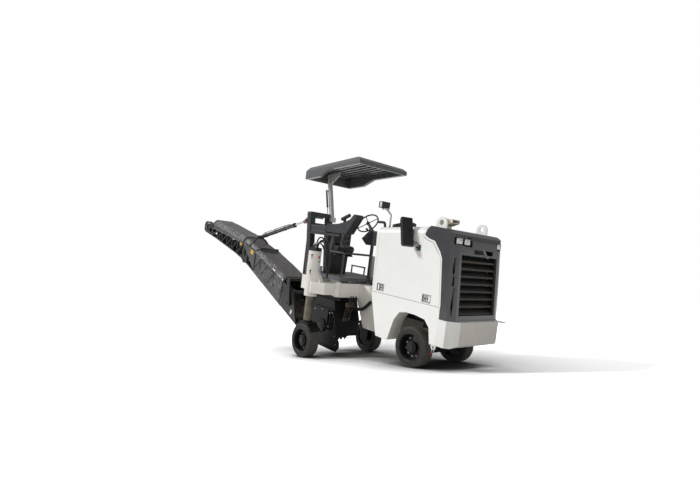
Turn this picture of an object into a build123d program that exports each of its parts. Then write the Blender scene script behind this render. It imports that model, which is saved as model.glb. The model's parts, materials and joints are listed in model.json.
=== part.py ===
"""Compact cold planer (half-metre road milling machine) on four solid-tyred wheels.

The machine is drawn in a level chassis frame and stood on its wheels at the end:

    x   forward, zero at the front axle
    y   to the machine's left, zero on its centre line
    z   up, zero at the ground under the front wheels when the chassis is level

Its rear legs are lowered, so the chassis rakes nose-down about the front axle.
place() turns the level drawing into that parked stance, with the origin at the
bottom centre of the whole machine.  Lengths are in millimetres, angles in degrees.
"""

import os
from math import atan2, cos, degrees, hypot, radians, sin, tan

from build123d import *

# ------------------------------------------------------------------ stance and fits
RUN = 0.05                  # radial clearance of a shaft or tube in its bearing
SEAT = 0.3                  # gap between pieces that rest on each other across a joint
CLEAR = 6.0                 # gap between pieces that move past each other
WALL = 12.0                 # plate of the welded frames
SHEET = 6.0                 # sheet of covers and guards

TYRE_R = 300.0              # solid tyre, outer radius
TYRE_W = 206.0
RIM_R = 214.0               # seat of the tyre on its rim
HUB_R = 92.0                # motor hub inside the rim
STUB_R = 45.0               # stub axle
LEG_DROP = 404.0            # how far the rear legs stand out below a level chassis
LEG_UP = 340.0              # how far a rear leg can be drawn up
REAR_X = -2080.0            # rear leg axes
RAKE = degrees(atan2(LEG_DROP, -REAR_X))

# ------------------------------------------------------------------ body
HALF_W = 619.0              # half width over the side panels
SEAM_Z = 985.0              # foot of the engine doors
BODY_REAR_X = -950.0
BODY_FOOT_Z = 297.0
BODY_FOOT_X = -730.0        # rear lower corner, cut away for the swung-in wheel
FRAME_REAR_X = -824.0       # rear end of the rails inside the body
BUMPER_X = 742.0
BUMPER_CORNER_X = 610.0
BUMPER_HALF = 463.0
BUMPER_FOOT_Z = 452.0
BUMPER_TOP_Z = 827.0
ARCH = [(-470, 290), (-376, 632), (-278, 769), (-139, 798),
        (46, 795), (228, 767), (319, 671), (366, 440)]
STEP_REACH = 75.0           # corner step, forward of the bumper
TIE_X = 430.0               # tie-down eyes under the bumper
TIE_Z = 420.0
TIE_R = 17.0
TIE_T = 20.0
ARCH_DEPTH = 235.0          # inward reach of the arch liner
BUMPER_SEAM_X = 460.0       # where the bumper meets the sides of the body

HOOD_REAR_X = -985.0
HOOD_REAR_Z = 2040.0
HOOD_FRONT_Z = 2112.0
SHOULDER_R = 112.0          # rounding of the hood's long top edges
WING_Y = 330.0              # hinge line of the gull-wing doors on the roof
DOOR_T = 10.0
ROOF_SLOPE = degrees(atan2(HOOD_FRONT_Z - HOOD_REAR_Z, 122.0 - HOOD_REAR_X))
HINGE_XS = (-760.0, -130.0)
LATCHES = ((-754.0, 1079.0, -48.0), (208.0, 1069.0, 48.0))      # x, z of each tray, place of its paddle in it
HINGE_Z = 9.0               # hinge pin above the roof
DOOR_GAP = 6.0

# ------------------------------------------------------------------ front cowl
COWL_FOOT_Z = BUMPER_TOP_Z + SEAT
COWL_FACE_FOOT_X = 668.0
COWL_FACE_TOP_X = 552.0     # at COWL_TOP_Z
COWL_CORNER_BACK = 62.0     # side corner behind the face
COWL_TOP_Z = 2112.0
COWL_FACE_HALF = 488.0
COWL_T = 28.0
COWL_SIDE = [(478, 888), (475, 1032), (397, 1665), (351, 1757), (233, 1901),
             (111, 1933), (38, 1977), (122, 2160)]
GRILLE_HALF = 436.0
GRILLE_LOW_Z = 905.0
GRILLE_TOP_Z = 1752.0
SLAT_COUNT = 8
SLAT_DEPTH = 96.0
SLAT_T = 9.0
SLAT_TILT = 46.0

LIFT_EYE_X = 217.0          # holes of the two lifting plates
LIFT_EYE_Z = 2180.0
LIFT_EYE_R = 40.0
EYE_PLATE_Y = 500.0
EYE_PLATE_T = 28.0

# ------------------------------------------------------------------ rear frame
BEAM_X = -1790.0            # front face of the rear cross beam
BEAM_T = 190.0
BEAM_LOW_Z = 722.0
BEAM_TOP_Z = 975.0
WELL_Y = -150.0             # right wall of the spine, beside the swung-in wheel
SPINE_REAR_X = -3040.0
SPINE_LOW_Z = 210.0
SPINE_TOP_Z = 975.0

# ------------------------------------------------------------------ rear legs
RIGHT_LEG_Y = -1026.0
LEFT_LEG_Y = 508.0
PIVOT_X = -1760.0           # upright pin of the right swing arm
PIVOT_Y = -690.0
PIVOT_R = 38.0
COLUMN_R = 114.0
COLUMN_LOW_Z = 700.0
COLUMN_TOP_Z = 1500.0
LEG_R = 72.0                # inner tube of a rear leg
LEFT_COLUMN_R = 114.0
LEG_LOW_Z = 232.0
LEG_TOP_Z = 1090.0
ARM_LOW_Z = 772.0
ARM_TOP_Z = 968.0

# ------------------------------------------------------------------ milling drum
DRUM_X = -2165.0
DRUM_Z = 135.0
DRUM_R = 255.0              # bare drum
CUT_R = 318.0               # over the tool tips
DRUM_Y0 = -592.0
DRUM_Y1 = -92.0
TOOL_ROWS = 26
TOOLS_PER_ROW = 2
HOUSING_T = 14.0

# ------------------------------------------------------------------ operator's stand
FLOOR_LOW_Z = 1012.0
FLOOR_TOP_Z = 1080.0
FLOOR_FRONT_X = -1800.0
FLOOR_REAR_X = -2950.0
RAIL_Z = 1520.0
RAIL_R = 19.0
SEAT_Y = -200.0
SEAT_REAR_X = -2640.0
STEER = (-1927.0, -10.0, 2118.0)      # middle of the steering wheel
STEER_TILT = 50.0

# ------------------------------------------------------------------ mast and canopy
MAST_X = -3100.0
MAST_Y = -300.0             # also the conveyor's centre line
MAST_HALF = 275.0
MAST_POST = 118.0
MAST_TOP_Z = 2240.0
MAST_LEAN = 8.0             # back from square to the chassis, so upright as it stands
CANOPY_REAR_X = -3340.0
CANOPY_FRONT_X = -1677.0
CANOPY_HALF = 599.0
CANOPY_REAR_Z = 3107.0
CANOPY_FRONT_Z = 3245.0
CANOPY_T = 24.0

# ------------------------------------------------------------------ conveyor
SLEW_X = -3400.0            # upright slewing axis behind the mast
SLEW_R = 30.0               # king pin
SLEW_LUGS = [(880, 922, 140), (1973, 2003, 110), (2123, 2153, 110)]   # foot z, top z, half width at the mast
CONV_HALF = 340.0
CONV_LIFT = (-3330.0, 330.0)          # lift axis, x and z
CONV_FOLD = (-5600.0, 935.0)          # fold axis, x and z
YOKE_PIN = (-5480.0, 1572.0)          # barrel pin on the yoke
EYE_X = -3520.0                       # rod eye at the slewing clevis
EYE_Z = 2063.0
EYE_R = 20.0
EYE_PLAY = 20.0                       # open pivot of the cylinder's linkage
ROD_SHOWN = 495.0                     # rod between gland and eye


# ------------------------------------------------------------------ drawing helpers
def block(x0, x1, y0, y1, z0, z1):
    """Box between two opposite corners."""
    return Pos((x0 + x1) / 2, (y0 + y1) / 2, (z0 + z1) / 2) * Box(x1 - x0, y1 - y0, z1 - z0)


def prism_y(outline, y0, y1):
    """Side outline of (x, z) points, drawn out from y0 to y1."""
    wire = Polyline(*[(x, y0, z) for x, z in outline], close=True)
    return extrude(make_face(wire), y1 - y0, dir=(0, 1, 0))


def prism_x(outline, x0, x1):
    """Cross-section of (y, z) points, drawn out from x0 to x1."""
    wire = Polyline(*[(x0, y, z) for y, z in outline], close=True)
    return extrude(make_face(wire), x1 - x0, dir=(1, 0, 0))


def prism_z(outline, z0, z1):
    """Plan outline of (x, y) points, drawn out from z0 to z1."""
    wire = Polyline(*[(x, y, z0) for x, y in outline], close=True)
    return extrude(make_face(wire), z1 - z0, dir=(0, 0, 1))


def rod_y(x, z, r, y0, y1):
    """Round bar across the machine."""
    return Pos(x, (y0 + y1) / 2, z) * Rot(X=90) * Cylinder(r, abs(y1 - y0))


def rod_z(x, y, r, z0, z1):
    """Upright round bar."""
    return Pos(x, y, (z0 + z1) / 2) * Cylinder(r, z1 - z0)


def rod_x(y, z, r, x0, x1):
    """Round bar along the machine."""
    return Pos((x0 + x1) / 2, y, z) * Rot(Y=90) * Cylinder(r, abs(x1 - x0))


def bar(start, end, r):
    """Round bar between two points."""
    a, b = Vector(*start), Vector(*end)
    plane = Plane(origin=(a + b) * 0.5, z_dir=b - a)
    return plane.location * Cylinder(r, (b - a).length)


def spin_y(profile, x, y, z):
    """Revolve a (radius, offset) outline about a cross axis through (x, y, z)."""
    wire = Polyline(*[(r, 0, h) for r, h in profile], close=True)
    ring = revolve(make_face(wire), Axis.Z, 360)
    return Pos(x, y, z) * Rot(X=90) * ring


def fuse(*pieces):
    """One solid out of pieces that touch."""
    whole = pieces[0]
    for piece in pieces[1:]:
        whole = whole + piece
    return whole


# ------------------------------------------------------------------ body and doors
def hood_top_z(x):
    """Height of the hood's top line at x."""
    share = (x - HOOD_REAR_X) / (COWL_SIDE[-1][0] - HOOD_REAR_X)
    return HOOD_REAR_Z + share * (HOOD_FRONT_Z - HOOD_REAR_Z)


def body_plan(inset):
    """Plan outline of the body with its cut front corners."""
    half = HALF_W - inset
    nose = BUMPER_HALF - inset / 2
    return [(HOOD_REAR_X - 100, -half), (BUMPER_CORNER_X - inset, -half), (BUMPER_X - inset, -nose),
            (BUMPER_X - inset, nose), (BUMPER_CORNER_X - inset, half), (HOOD_REAR_X - 100, half)]


def arch_liner(low, high):
    """Folded liner of one wheel arch, between two planes across the machine."""
    grow = [(-SHEET, 0), (-SHEET, 3), (-4, SHEET), (0, SHEET), (0, SHEET), (4, SHEET), (SHEET, 3), (SHEET, 0)]
    outer = [(x + dx, z + dz) for (x, z), (dx, dz) in zip(ARCH, grow)]
    return prism_y([*ARCH, *reversed(outer)], low, high)


def build_lower_body():
    """White lower body: side walls with wheel arches, rear wall, arch liners and bumper."""
    front_x = COWL_SIDE[0][0]
    side = [(BODY_REAR_X, SEAM_Z), (BODY_FOOT_X, BODY_FOOT_Z), *ARCH[:-1], (366, BUMPER_FOOT_Z),
            (BUMPER_X - 75, BUMPER_FOOT_Z), (BUMPER_X, BUMPER_FOOT_Z + 55), (BUMPER_X, BUMPER_TOP_Z),
            (front_x, BUMPER_TOP_Z), (front_x - 9, SEAM_Z)]
    shell = prism_y(side, -HALF_W, HALF_W) & prism_z(body_plan(0), 0, SEAM_Z + 1)
    inner = [(BODY_REAR_X + WALL, SEAM_Z + 5), (BODY_FOOT_X + WALL, BODY_FOOT_Z - 15),
             (BUMPER_X - 60, BODY_FOOT_Z - 15), (BUMPER_X - 60, BUMPER_TOP_Z - WALL),
             (front_x - WALL, BUMPER_TOP_Z - WALL), (front_x - WALL, SEAM_Z + 5)]
    cavity = prism_y(inner, -HALF_W, HALF_W) & prism_z(body_plan(WALL), 0, SEAM_Z + 10)
    shell = shell - cavity
    for sign in (-1, 1):
        low, high = sorted((sign * (HALF_W - 1), sign * (HALF_W - ARCH_DEPTH)))
        liner = arch_liner(low, high) & block(-600, 600, low, high, BODY_FOOT_Z, BUMPER_TOP_Z)
        y0, y1 = sorted((sign * (HALF_W - WALL), sign * (HALF_W - WALL - TIE_T)))
        lug = block(TIE_X - 40, TIE_X + 40, y0, y1, TIE_Z, BUMPER_FOOT_Z + 60) + rod_y(TIE_X, TIE_Z, 40, y0, y1)
        shell = shell + liner + (lug - rod_y(TIE_X, TIE_Z, TIE_R, y0 - 1, y1 + 1))
    return shell


def split_body(shell):
    """Panels of the lower body: two sides, their wheel arches, the rear wall, and the bumper with its corner step."""
    far, skin = 2000.0, HALF_W - WALL
    nodes = {"body_rear_wall": shell & block(-far, -600, -skin, skin, 0, far)}
    arches = []
    for name, sign in (("right_body_side", -1), ("left_body_side", 1)):
        plate = shell & block(-far, BUMPER_SEAM_X, *sorted((sign * far, sign * skin)), 0, far)
        lug = shell & block(TIE_X - 45, BUMPER_SEAM_X, *sorted((sign * (skin - TIE_T - 1), sign * skin)), 0, far)
        nodes[name] = fuse(plate, lug)
        arches.append(shell & block(-600, TIE_X - 45, *sorted((0, sign * skin)), 0, far))
    nodes["wheel_arches"] = Compound(children=arches)
    step = block(BUMPER_X - 90, BUMPER_X + STEP_REACH, BUMPER_HALF - 20, BUMPER_HALF + 95, BUMPER_TOP_Z - 10, BUMPER_TOP_Z)
    nodes["bumper"] = fuse(shell & block(BUMPER_SEAM_X, far, -far, far, 0, far), step)
    return nodes


def hood_outline(inset):
    """Side outline of the hood above the seam, up to the cowl."""
    front = [(x - inset, z) for x, z in COWL_SIDE[:-1]]
    top_x = COWL_SIDE[-2][0]
    return [(BODY_REAR_X + 13 + inset, SEAM_Z - inset), (HOOD_REAR_X + inset, HOOD_REAR_Z - inset - 115),
            (HOOD_REAR_X + inset + 4, HOOD_REAR_Z - inset), (top_x, hood_top_z(top_x) - inset),
            *reversed(front[1:]), (front[1][0], SEAM_Z - inset)]


def hood_block(inset, half):
    """Hood outline drawn out to its half width, with rounded long top edges."""
    whole = prism_y(hood_outline(inset), -half, half)
    long_top = whole.edges().filter_by(lambda e: abs(e.center().Y) > half - 1 and abs(e.tangent_at(0.5).X) > 0.9
                                       and e.center().Z > HOOD_REAR_Z - inset - 5)
    return fillet(long_top, SHOULDER_R - inset)


def hood_skin():
    """Sheet of the hood, open below and toward the cowl."""
    core = hood_block(DOOR_T, HALF_W - DOOR_T)
    top_x = COWL_SIDE[-2][0]
    nose = prism_y([(-60, SEAM_Z - 20), (600, SEAM_Z - 20), (600, 1850), (top_x, HOOD_REAR_Z - SHOULDER_R),
                    (-60, HOOD_REAR_Z - SHOULDER_R)], -HALF_W + DOOR_T, HALF_W - DOOR_T)
    return hood_block(0, HALF_W) - core - nose


def wing_region(sign, gap):
    """Space taken by a gull-wing door; gap is how far it stands off its opening."""
    edge = 24 + gap
    rear = BODY_REAR_X + 28 + gap
    front = [(x - edge, z - edge) for x, z in COWL_SIDE[3:7]]
    outline = [(rear, SEAM_Z + gap), (rear + 10, HOOD_FRONT_Z + 200), (front[-1][0], HOOD_FRONT_Z + 200),
               *reversed(front), (COWL_SIDE[2][0] - edge, COWL_SIDE[2][1]),
               (COWL_SIDE[1][0] - edge, COWL_SIDE[1][1]), (COWL_SIDE[1][0] - edge, SEAM_Z + gap)]
    return prism_y(outline, *sorted((sign * (WING_Y + gap), sign * (HALF_W + 5))))


def wing_hinge(x, sign):
    """Location of a wing's hinge on the roof line: local x along the roof, local z off it."""
    return Pos(x, sign * WING_Y, hood_top_z(x)) * Rot(Y=-ROOF_SLOPE)


def build_hood(skin):
    """White hood: rear wall, pillars and roof strip, open where the two wings hang."""
    hood = skin - wing_region(-1, 0) - wing_region(1, 0)
    for sign in (-1, 1):
        for x in HINGE_XS:
            low, high = sorted((-sign * 60, 0))
            leaf = block(-64, 64, low, high, -0.5, 5)
            ends = rod_x(0, HINGE_Z, 9, -64, -21) + rod_x(0, HINGE_Z, 9, 21, 64) + rod_x(0, HINGE_Z, 5, -64, 64)
            leaf = leaf - rod_x(0, HINGE_Z, 10, -21, 21)
            hood = hood + wing_hinge(x, sign) * (leaf + ends)
    return hood


def build_door(skin, sign):
    """Gull-wing engine door with two recessed latches near its foot; sign is -1 on the right."""
    door = skin & wing_region(sign, DOOR_GAP)
    y_out = sign * HALF_W
    for x, z, strip in LATCHES:
        tray = block(x - 85, x + 85, *sorted((y_out - sign * 28, y_out - sign * 1)), z - 63, z + 63)
        pocket = block(x - 76, x + 76, *sorted((y_out - sign * 20, y_out + sign * 1)), z - 54, z + 54)
        paddle = block(x + strip - 18, x + strip + 18, *sorted((y_out - sign * 21, y_out - sign * 6)), z - 44, z + 44)
        grip = block(x - strip / 2 - 32, x - strip / 2 + 32, *sorted((y_out - sign * 21, y_out - sign * 4)), z - 14, z + 14)
        door = door + tray - pocket + paddle + grip
    for x in HINGE_XS:
        low, high = sorted((sign * (DOOR_GAP + 4), sign * 60))
        leaf = block(-20, 20, low, high, -0.5, 5) + block(-20, 20, *sorted((0, sign * 30)), 4, 12)
        leaf = leaf + rod_x(0, HINGE_Z, 9, -20, 20) - rod_x(0, HINGE_Z, 5 + RUN, -25, 25)
        door = door + wing_hinge(x, sign) * leaf
    return door


def build_air_scoop():
    """Wedge-shaped air inlet on the roof strip between the wings."""
    rear, front, y0, y1 = -978.0, -610.0, -300.0, -120.0
    side = [(rear, hood_top_z(rear)), (rear, hood_top_z(rear) + 72), (front - 60, hood_top_z(front) + 112),
            (front, hood_top_z(front) + 90), (front, hood_top_z(front))]
    mouth = block(rear - 5, rear + 60, y0 + 12, y1 - 12, hood_top_z(rear) + 14, hood_top_z(rear) + 58)
    scoop = prism_y(side, y0, y1) - mouth
    for x in HINGE_XS:
        scoop = scoop - wing_hinge(x, -1) * block(-68, 68, -5, 64, -4, 8)
    return scoop


# ------------------------------------------------------------------ cowl, grille and lamps
def cowl_face_x(z):
    """Where the cowl's raked face lies at height z."""
    share = (z - COWL_FOOT_Z) / (COWL_TOP_Z - COWL_FOOT_Z)
    return COWL_FACE_FOOT_X + share * (COWL_FACE_TOP_X - COWL_FACE_FOOT_X)


def cowl_block(inset):
    """Raked block with cut corners that the cowl is made from."""
    sections = []
    for z in (COWL_FOOT_Z - 2 * inset, COWL_TOP_Z):
        face = cowl_face_x(z) - inset
        half = HALF_W + 3 - inset
        nose = COWL_FACE_HALF - inset * 0.6
        corner = face - COWL_CORNER_BACK - 0.35 * inset
        outline = [(-40, -half), (corner, -half), (face, -nose), (face, nose), (corner, half), (-40, half)]
        sections.append(make_face(Polyline(*[(x, y, z) for x, y in outline], close=True)))
    return loft(sections)


def build_cowl():
    """Dark front cowl: raked shell with grille opening, lamp recesses, cheek pockets and top wings."""
    outline = [(COWL_SIDE[0][0], COWL_FOOT_Z), *COWL_SIDE[:-1], (122, COWL_TOP_Z + 4),
               (430, COWL_TOP_Z - 26), (520, 2030), (548, 1960), (800, 1930), (800, COWL_FOOT_Z)]
    outer = cowl_block(0) & prism_y(outline, -HALF_W - 10, HALF_W + 10)
    core = [(0, COWL_FOOT_Z - 50), (0, COWL_TOP_Z - 90), (430, COWL_TOP_Z - 26 - COWL_T),
            (500, 2012), (520, 1945), (800, 1915), (800, COWL_FOOT_Z - 50)]
    inner = cowl_block(COWL_T) & prism_y(core, -HALF_W, HALF_W)
    shell = outer - inner
    grille = block(430, 800, -GRILLE_HALF, GRILLE_HALF, GRILLE_LOW_Z, GRILLE_TOP_Z)
    shell = shell - grille
    face = cowl_face_x(1930)
    for y0, y1 in ((-575, -205), (430, 575)):
        shell = shell - block(face - 66, face + 80, y0, y1, 1872, 2000)
        shell = shell + block(face - 84, face - 66, y0 - 8, y1 + 8, 1864, 2008)
    shell = shell - block(cowl_face_x(1815) - 90, 800, -150, 320, 1782, 1846)
    for sign in (-1, 1):
        for z0, z1 in ((905, 1290), (1310, 1450), (1470, 1700)):
            x = cowl_face_x((z0 + z1) / 2) - 36
            y = sign * (COWL_FACE_HALF + 52)
            slot = Pos(x, y, (z0 + z1) / 2) * Rot(Z=sign * -25.5) * Box(26, 62, z1 - z0)
            shell = shell - slot
    return shell


def build_louvres():
    """Grille slats, each raked and seated between two side combs."""
    height = GRILLE_TOP_Z - GRILLE_LOW_Z
    pieces = []
    for sign in (-1, 1):
        low_x, top_x = cowl_face_x(GRILLE_LOW_Z), cowl_face_x(GRILLE_TOP_Z)
        comb = [(low_x - 118, GRILLE_LOW_Z), (top_x - 118, GRILLE_TOP_Z),
                (top_x - 12, GRILLE_TOP_Z), (low_x - 12, GRILLE_LOW_Z)]
        pieces.append(prism_y(comb, *sorted((sign * GRILLE_HALF, sign * (GRILLE_HALF - 14)))))
    for row in range(SLAT_COUNT):
        z = GRILLE_LOW_Z + height * (row + 0.5) / SLAT_COUNT
        slat = Pos(cowl_face_x(z) - 62, 0, z) * Rot(Y=SLAT_TILT) * Box(SLAT_DEPTH, 2 * GRILLE_HALF - 20, SLAT_T)
        lip = Pos(cowl_face_x(z) - 62 + SLAT_DEPTH / 2 * cos(radians(SLAT_TILT)), 0,
                  z - SLAT_DEPTH / 2 * sin(radians(SLAT_TILT))) * Rot(Y=8) * Box(10, 2 * GRILLE_HALF - 20, 24)
        pieces.append(slat + lip)
    return fuse(*pieces)


def build_lamps():
    """Lamp bodies that sit in the cowl's recesses."""
    face = cowl_face_x(1930)
    lamps = []
    for y0, y1 in ((-560, -400), (-378, -225), (445, 560)):
        lamp = block(face - 66 + SEAT, face - 22, y0, y1, 1886, 1986)
        lamp = fillet(lamp.edges().filter_by(Axis.X), 18)
        lamps.append(lamp)
    return Compound(children=lamps)


def build_lifting_eyes(cowl):
    """Two upright lifting plates that stand on the front of the cowl."""
    eyes, x = [], LIFT_EYE_X
    for y in (-EYE_PLATE_Y, EYE_PLATE_Y):
        plate = block(x - 95, x + 95, y - EYE_PLATE_T / 2, y + EYE_PLATE_T / 2, 2064, 2166)
        plate = plate + rod_y(x, 2166, 95, y - EYE_PLATE_T / 2, y + EYE_PLATE_T / 2)
        eyes.append(plate - rod_y(LIFT_EYE_X, LIFT_EYE_Z, LIFT_EYE_R, y - 20, y + 20) - cowl)
    return Compound(children=eyes)


def build_exhaust():
    """Exhaust outlet box behind the near lifting eye."""
    outline = [(125, 2098), (125, 2246), (365, 2238), (365, 2182), (235, 2140), (235, 2098)]
    outer = prism_y(outline, -460, -290)
    inner = prism_y([(145, 2130), (145, 2234), (375, 2226), (375, 2194), (221, 2142), (221, 2130)], -448, -302)
    return outer - inner


def build_radiator():
    """Radiator core behind the grille, on two feet."""
    feet = [block(385, 435, y - 40, y + 40, 760, 1000) for y in (-180, 180)]
    return fuse(block(380, 450, -400, 400, 990, 1700), *feet)


# ------------------------------------------------------------------ chassis
def build_front_frame():
    """Frame under the hood: two rails, a cross tie and the pedestal of the front axle."""
    rails = []
    for sign in (-1, 1):
        y0, y1 = sorted((sign * 150, sign * 210))
        rails.append(block(FRAME_REAR_X, BUMPER_X - 60, y0, y1, 640, 760))
    tie = block(-120, 120, -210, 210, 560, 640)
    sill = block(FRAME_REAR_X, FRAME_REAR_X + 80, -HALF_W + WALL, HALF_W - WALL, 640, 760)
    cross = block(380, 440, -HALF_W + WALL, HALF_W - WALL, 640, 760)
    return fuse(*rails, tie, sill, cross)


def build_front_axle():
    """Axle beam between the two steering knuckles."""
    beam = block(-70, 70, -282, 282, 200, 400)
    boss = block(-90, 90, -130, 130, 400, 560)
    ears = []
    for sign in (-1, 1):
        y = sign * 330
        for z0, z1 in ((190, 222), (378, 410)):
            ear = block(-45, 45, *sorted((y, sign * 270)), z0, z1)
            ear = ear + rod_z(0, y, 45, z0, z1)
            ears.append(ear - rod_z(0, y, 22 + RUN, z0 - 1, z1 + 1))
    return fuse(beam, boss, *ears)


def build_knuckle(sign):
    """Steering knuckle: kingpin, barrel and the stub axle that carries the wheel."""
    y = sign * 330
    barrel = rod_z(0, y, 42, 222 + SEAT, 378 - SEAT)
    pin = rod_z(0, y, 22, 180, 420)
    y_end = sign * (HALF_W - 60)
    stub = rod_y(0, TYRE_R, STUB_R, min(y, y_end), max(y, y_end))
    y0, y1 = sorted((y + sign * 30, sign * (HALF_W - 8 - TYRE_W - 14)))
    flange = rod_y(0, TYRE_R, 70, y0, y1)
    return fuse(barrel, pin, stub, flange)


def tyre(x, y_out, sign, z):
    """Solid rubber tyre with rounded shoulders; y_out is its outer face."""
    w, r, i = TYRE_W, TYRE_R, RIM_R
    profile = [(i, 0), (i + 62, 0), (r - 16, 6), (r - 4, 16), (r, 30), (r, w - 30), (r - 4, w - 16),
               (r - 16, w - 6), (i + 62, w), (i, w)]
    ring = spin_y(profile, 0, 0, 0)
    return Pos(x, y_out if sign < 0 else y_out - TYRE_W, z) * Pos(0, TYRE_W, 0) * ring


def rim(x, y_out, sign, z):
    """Deep-dish rim with its hub; the dish opens outward."""
    w, r = TYRE_W, RIM_R
    profile = [(STUB_R + RUN, 30), (HUB_R - 14, 30), (HUB_R, 44), (HUB_R, 96), (r - 26, 120), (r - 20, 14), (r, 2),
               (r, w - 2), (r - 16, w - 8), (r - 20, 150), (STUB_R + RUN, 150)]
    body = spin_y(profile, 0, 0, 0)
    if sign < 0:
        body = Rot(Z=180) * body
        return Pos(x, y_out, z) * body
    return Pos(x, y_out, z) * body


def wheel(x, y_out, sign, z):
    """Tyre and rim of one wheel."""
    return tyre(x, y_out, sign, z), rim(x, y_out, sign, z)


def build_rear_frame():
    """White rear frame: spine with the well wall, cross beam and clevis of the swing arm."""
    slope = (BODY_FOOT_X - BODY_REAR_X) / (SEAM_Z - BODY_FOOT_Z)
    wall = [(BODY_REAR_X + slope * (SEAM_Z - SPINE_TOP_Z), SPINE_TOP_Z), (BODY_FOOT_X, BODY_FOOT_Z),
            (BODY_FOOT_X, SPINE_LOW_Z + 30), (BODY_FOOT_X - 40, SPINE_LOW_Z), (-1560, SPINE_LOW_Z),
            (BEAM_X - 10, 660), (BEAM_X - 10, SPINE_TOP_Z)]
    spine = prism_y(wall, WELL_Y, 350)
    beam = block(BEAM_X - BEAM_T, BEAM_X, -600, 600, BEAM_LOW_Z, BEAM_TOP_Z)
    rear = block(SPINE_REAR_X, BEAM_X - BEAM_T + 1, -60, 350, 700, SPINE_TOP_Z)
    end = block(SPINE_REAR_X, SPINE_REAR_X + 200, -600, 600, 700, SPINE_TOP_Z)
    frame = fuse(spine, beam, rear, end, slew_lug(SPINE_REAR_X + 20, *SLEW_LUGS[0]))
    for z0, z1 in ((ARM_LOW_Z - 26, ARM_LOW_Z - SEAT), (ARM_TOP_Z + SEAT, ARM_TOP_Z + 22)):
        ear = prism_z([(BEAM_X - 100, -590), (BEAM_X + 20, -590), (PIVOT_X + 62, PIVOT_Y), (PIVOT_X, PIVOT_Y - 62),
                       (BEAM_X - 100, PIVOT_Y - 20)], z0, z1)
        ear = ear + rod_z(PIVOT_X, PIVOT_Y, 64, z0, z1)
        frame = frame + ear
    frame = frame - rod_z(PIVOT_X, PIVOT_Y, PIVOT_R + RUN, ARM_LOW_Z - 40, ARM_TOP_Z + 40)
    return frame - rod_z(REAR_X, LEFT_LEG_Y, LEFT_COLUMN_R, 600, 1100)


def build_left_column():
    """Fixed column of the left rear leg."""
    tube = rod_z(REAR_X, LEFT_LEG_Y, LEFT_COLUMN_R, COLUMN_LOW_Z, COLUMN_TOP_Z)
    bore = rod_z(REAR_X, LEFT_LEG_Y, LEG_R + RUN, COLUMN_LOW_Z - 1, COLUMN_TOP_Z - 30)
    return tube - bore


def build_swing_arm():
    """Swing arm of the right rear leg with the column that it carries."""
    column = rod_z(REAR_X, RIGHT_LEG_Y, COLUMN_R, COLUMN_LOW_Z, COLUMN_TOP_Z)
    plan = [(PIVOT_X + 18, PIVOT_Y - 66), (PIVOT_X + 18, -985), (PIVOT_X - 20, -1010), (REAR_X + 120, -1120),
            (REAR_X, RIGHT_LEG_Y - 60), (REAR_X - 60, RIGHT_LEG_Y), (REAR_X - 60, -900), (PIVOT_X - 90, PIVOT_Y + 10)]
    arm = prism_z(plan, ARM_LOW_Z, ARM_TOP_Z) + rod_z(PIVOT_X, PIVOT_Y, 66, ARM_LOW_Z, ARM_TOP_Z)
    whole = column + arm
    for angle in (60.0, 10.0):
        rib = prism_y([(COLUMN_R - 20, ARM_TOP_Z - 5), (COLUMN_R + 95, ARM_TOP_Z - 5), (COLUMN_R - 20, ARM_TOP_Z + 210)],
                      -8, 8)
        whole = whole + Pos(REAR_X, RIGHT_LEG_Y, 0) * Rot(Z=angle) * rib
    pin = rod_z(PIVOT_X, PIVOT_Y, PIVOT_R, ARM_LOW_Z - 34, ARM_TOP_Z + 30)
    cap = rod_z(PIVOT_X, PIVOT_Y, PIVOT_R + 14, ARM_TOP_Z + 22 + SEAT, ARM_TOP_Z + 36)
    whole = whole + pin + cap
    bore = rod_z(REAR_X, RIGHT_LEG_Y, LEG_R + RUN, COLUMN_LOW_Z - 1, COLUMN_TOP_Z - 30)
    return whole - bore


def build_column_head():
    """Valve block and fittings on top of the right column."""
    block_body = block(REAR_X - 80, REAR_X + 90, RIGHT_LEG_Y - 60, RIGHT_LEG_Y + 70, COLUMN_TOP_Z, COLUMN_TOP_Z + 62)
    plug = rod_z(REAR_X, RIGHT_LEG_Y, 42, COLUMN_TOP_Z + 60, COLUMN_TOP_Z + 120)
    flange = rod_z(REAR_X, RIGHT_LEG_Y, COLUMN_R - 10, COLUMN_TOP_Z, COLUMN_TOP_Z + 18)
    return fuse(block_body, plug, flange)


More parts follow.
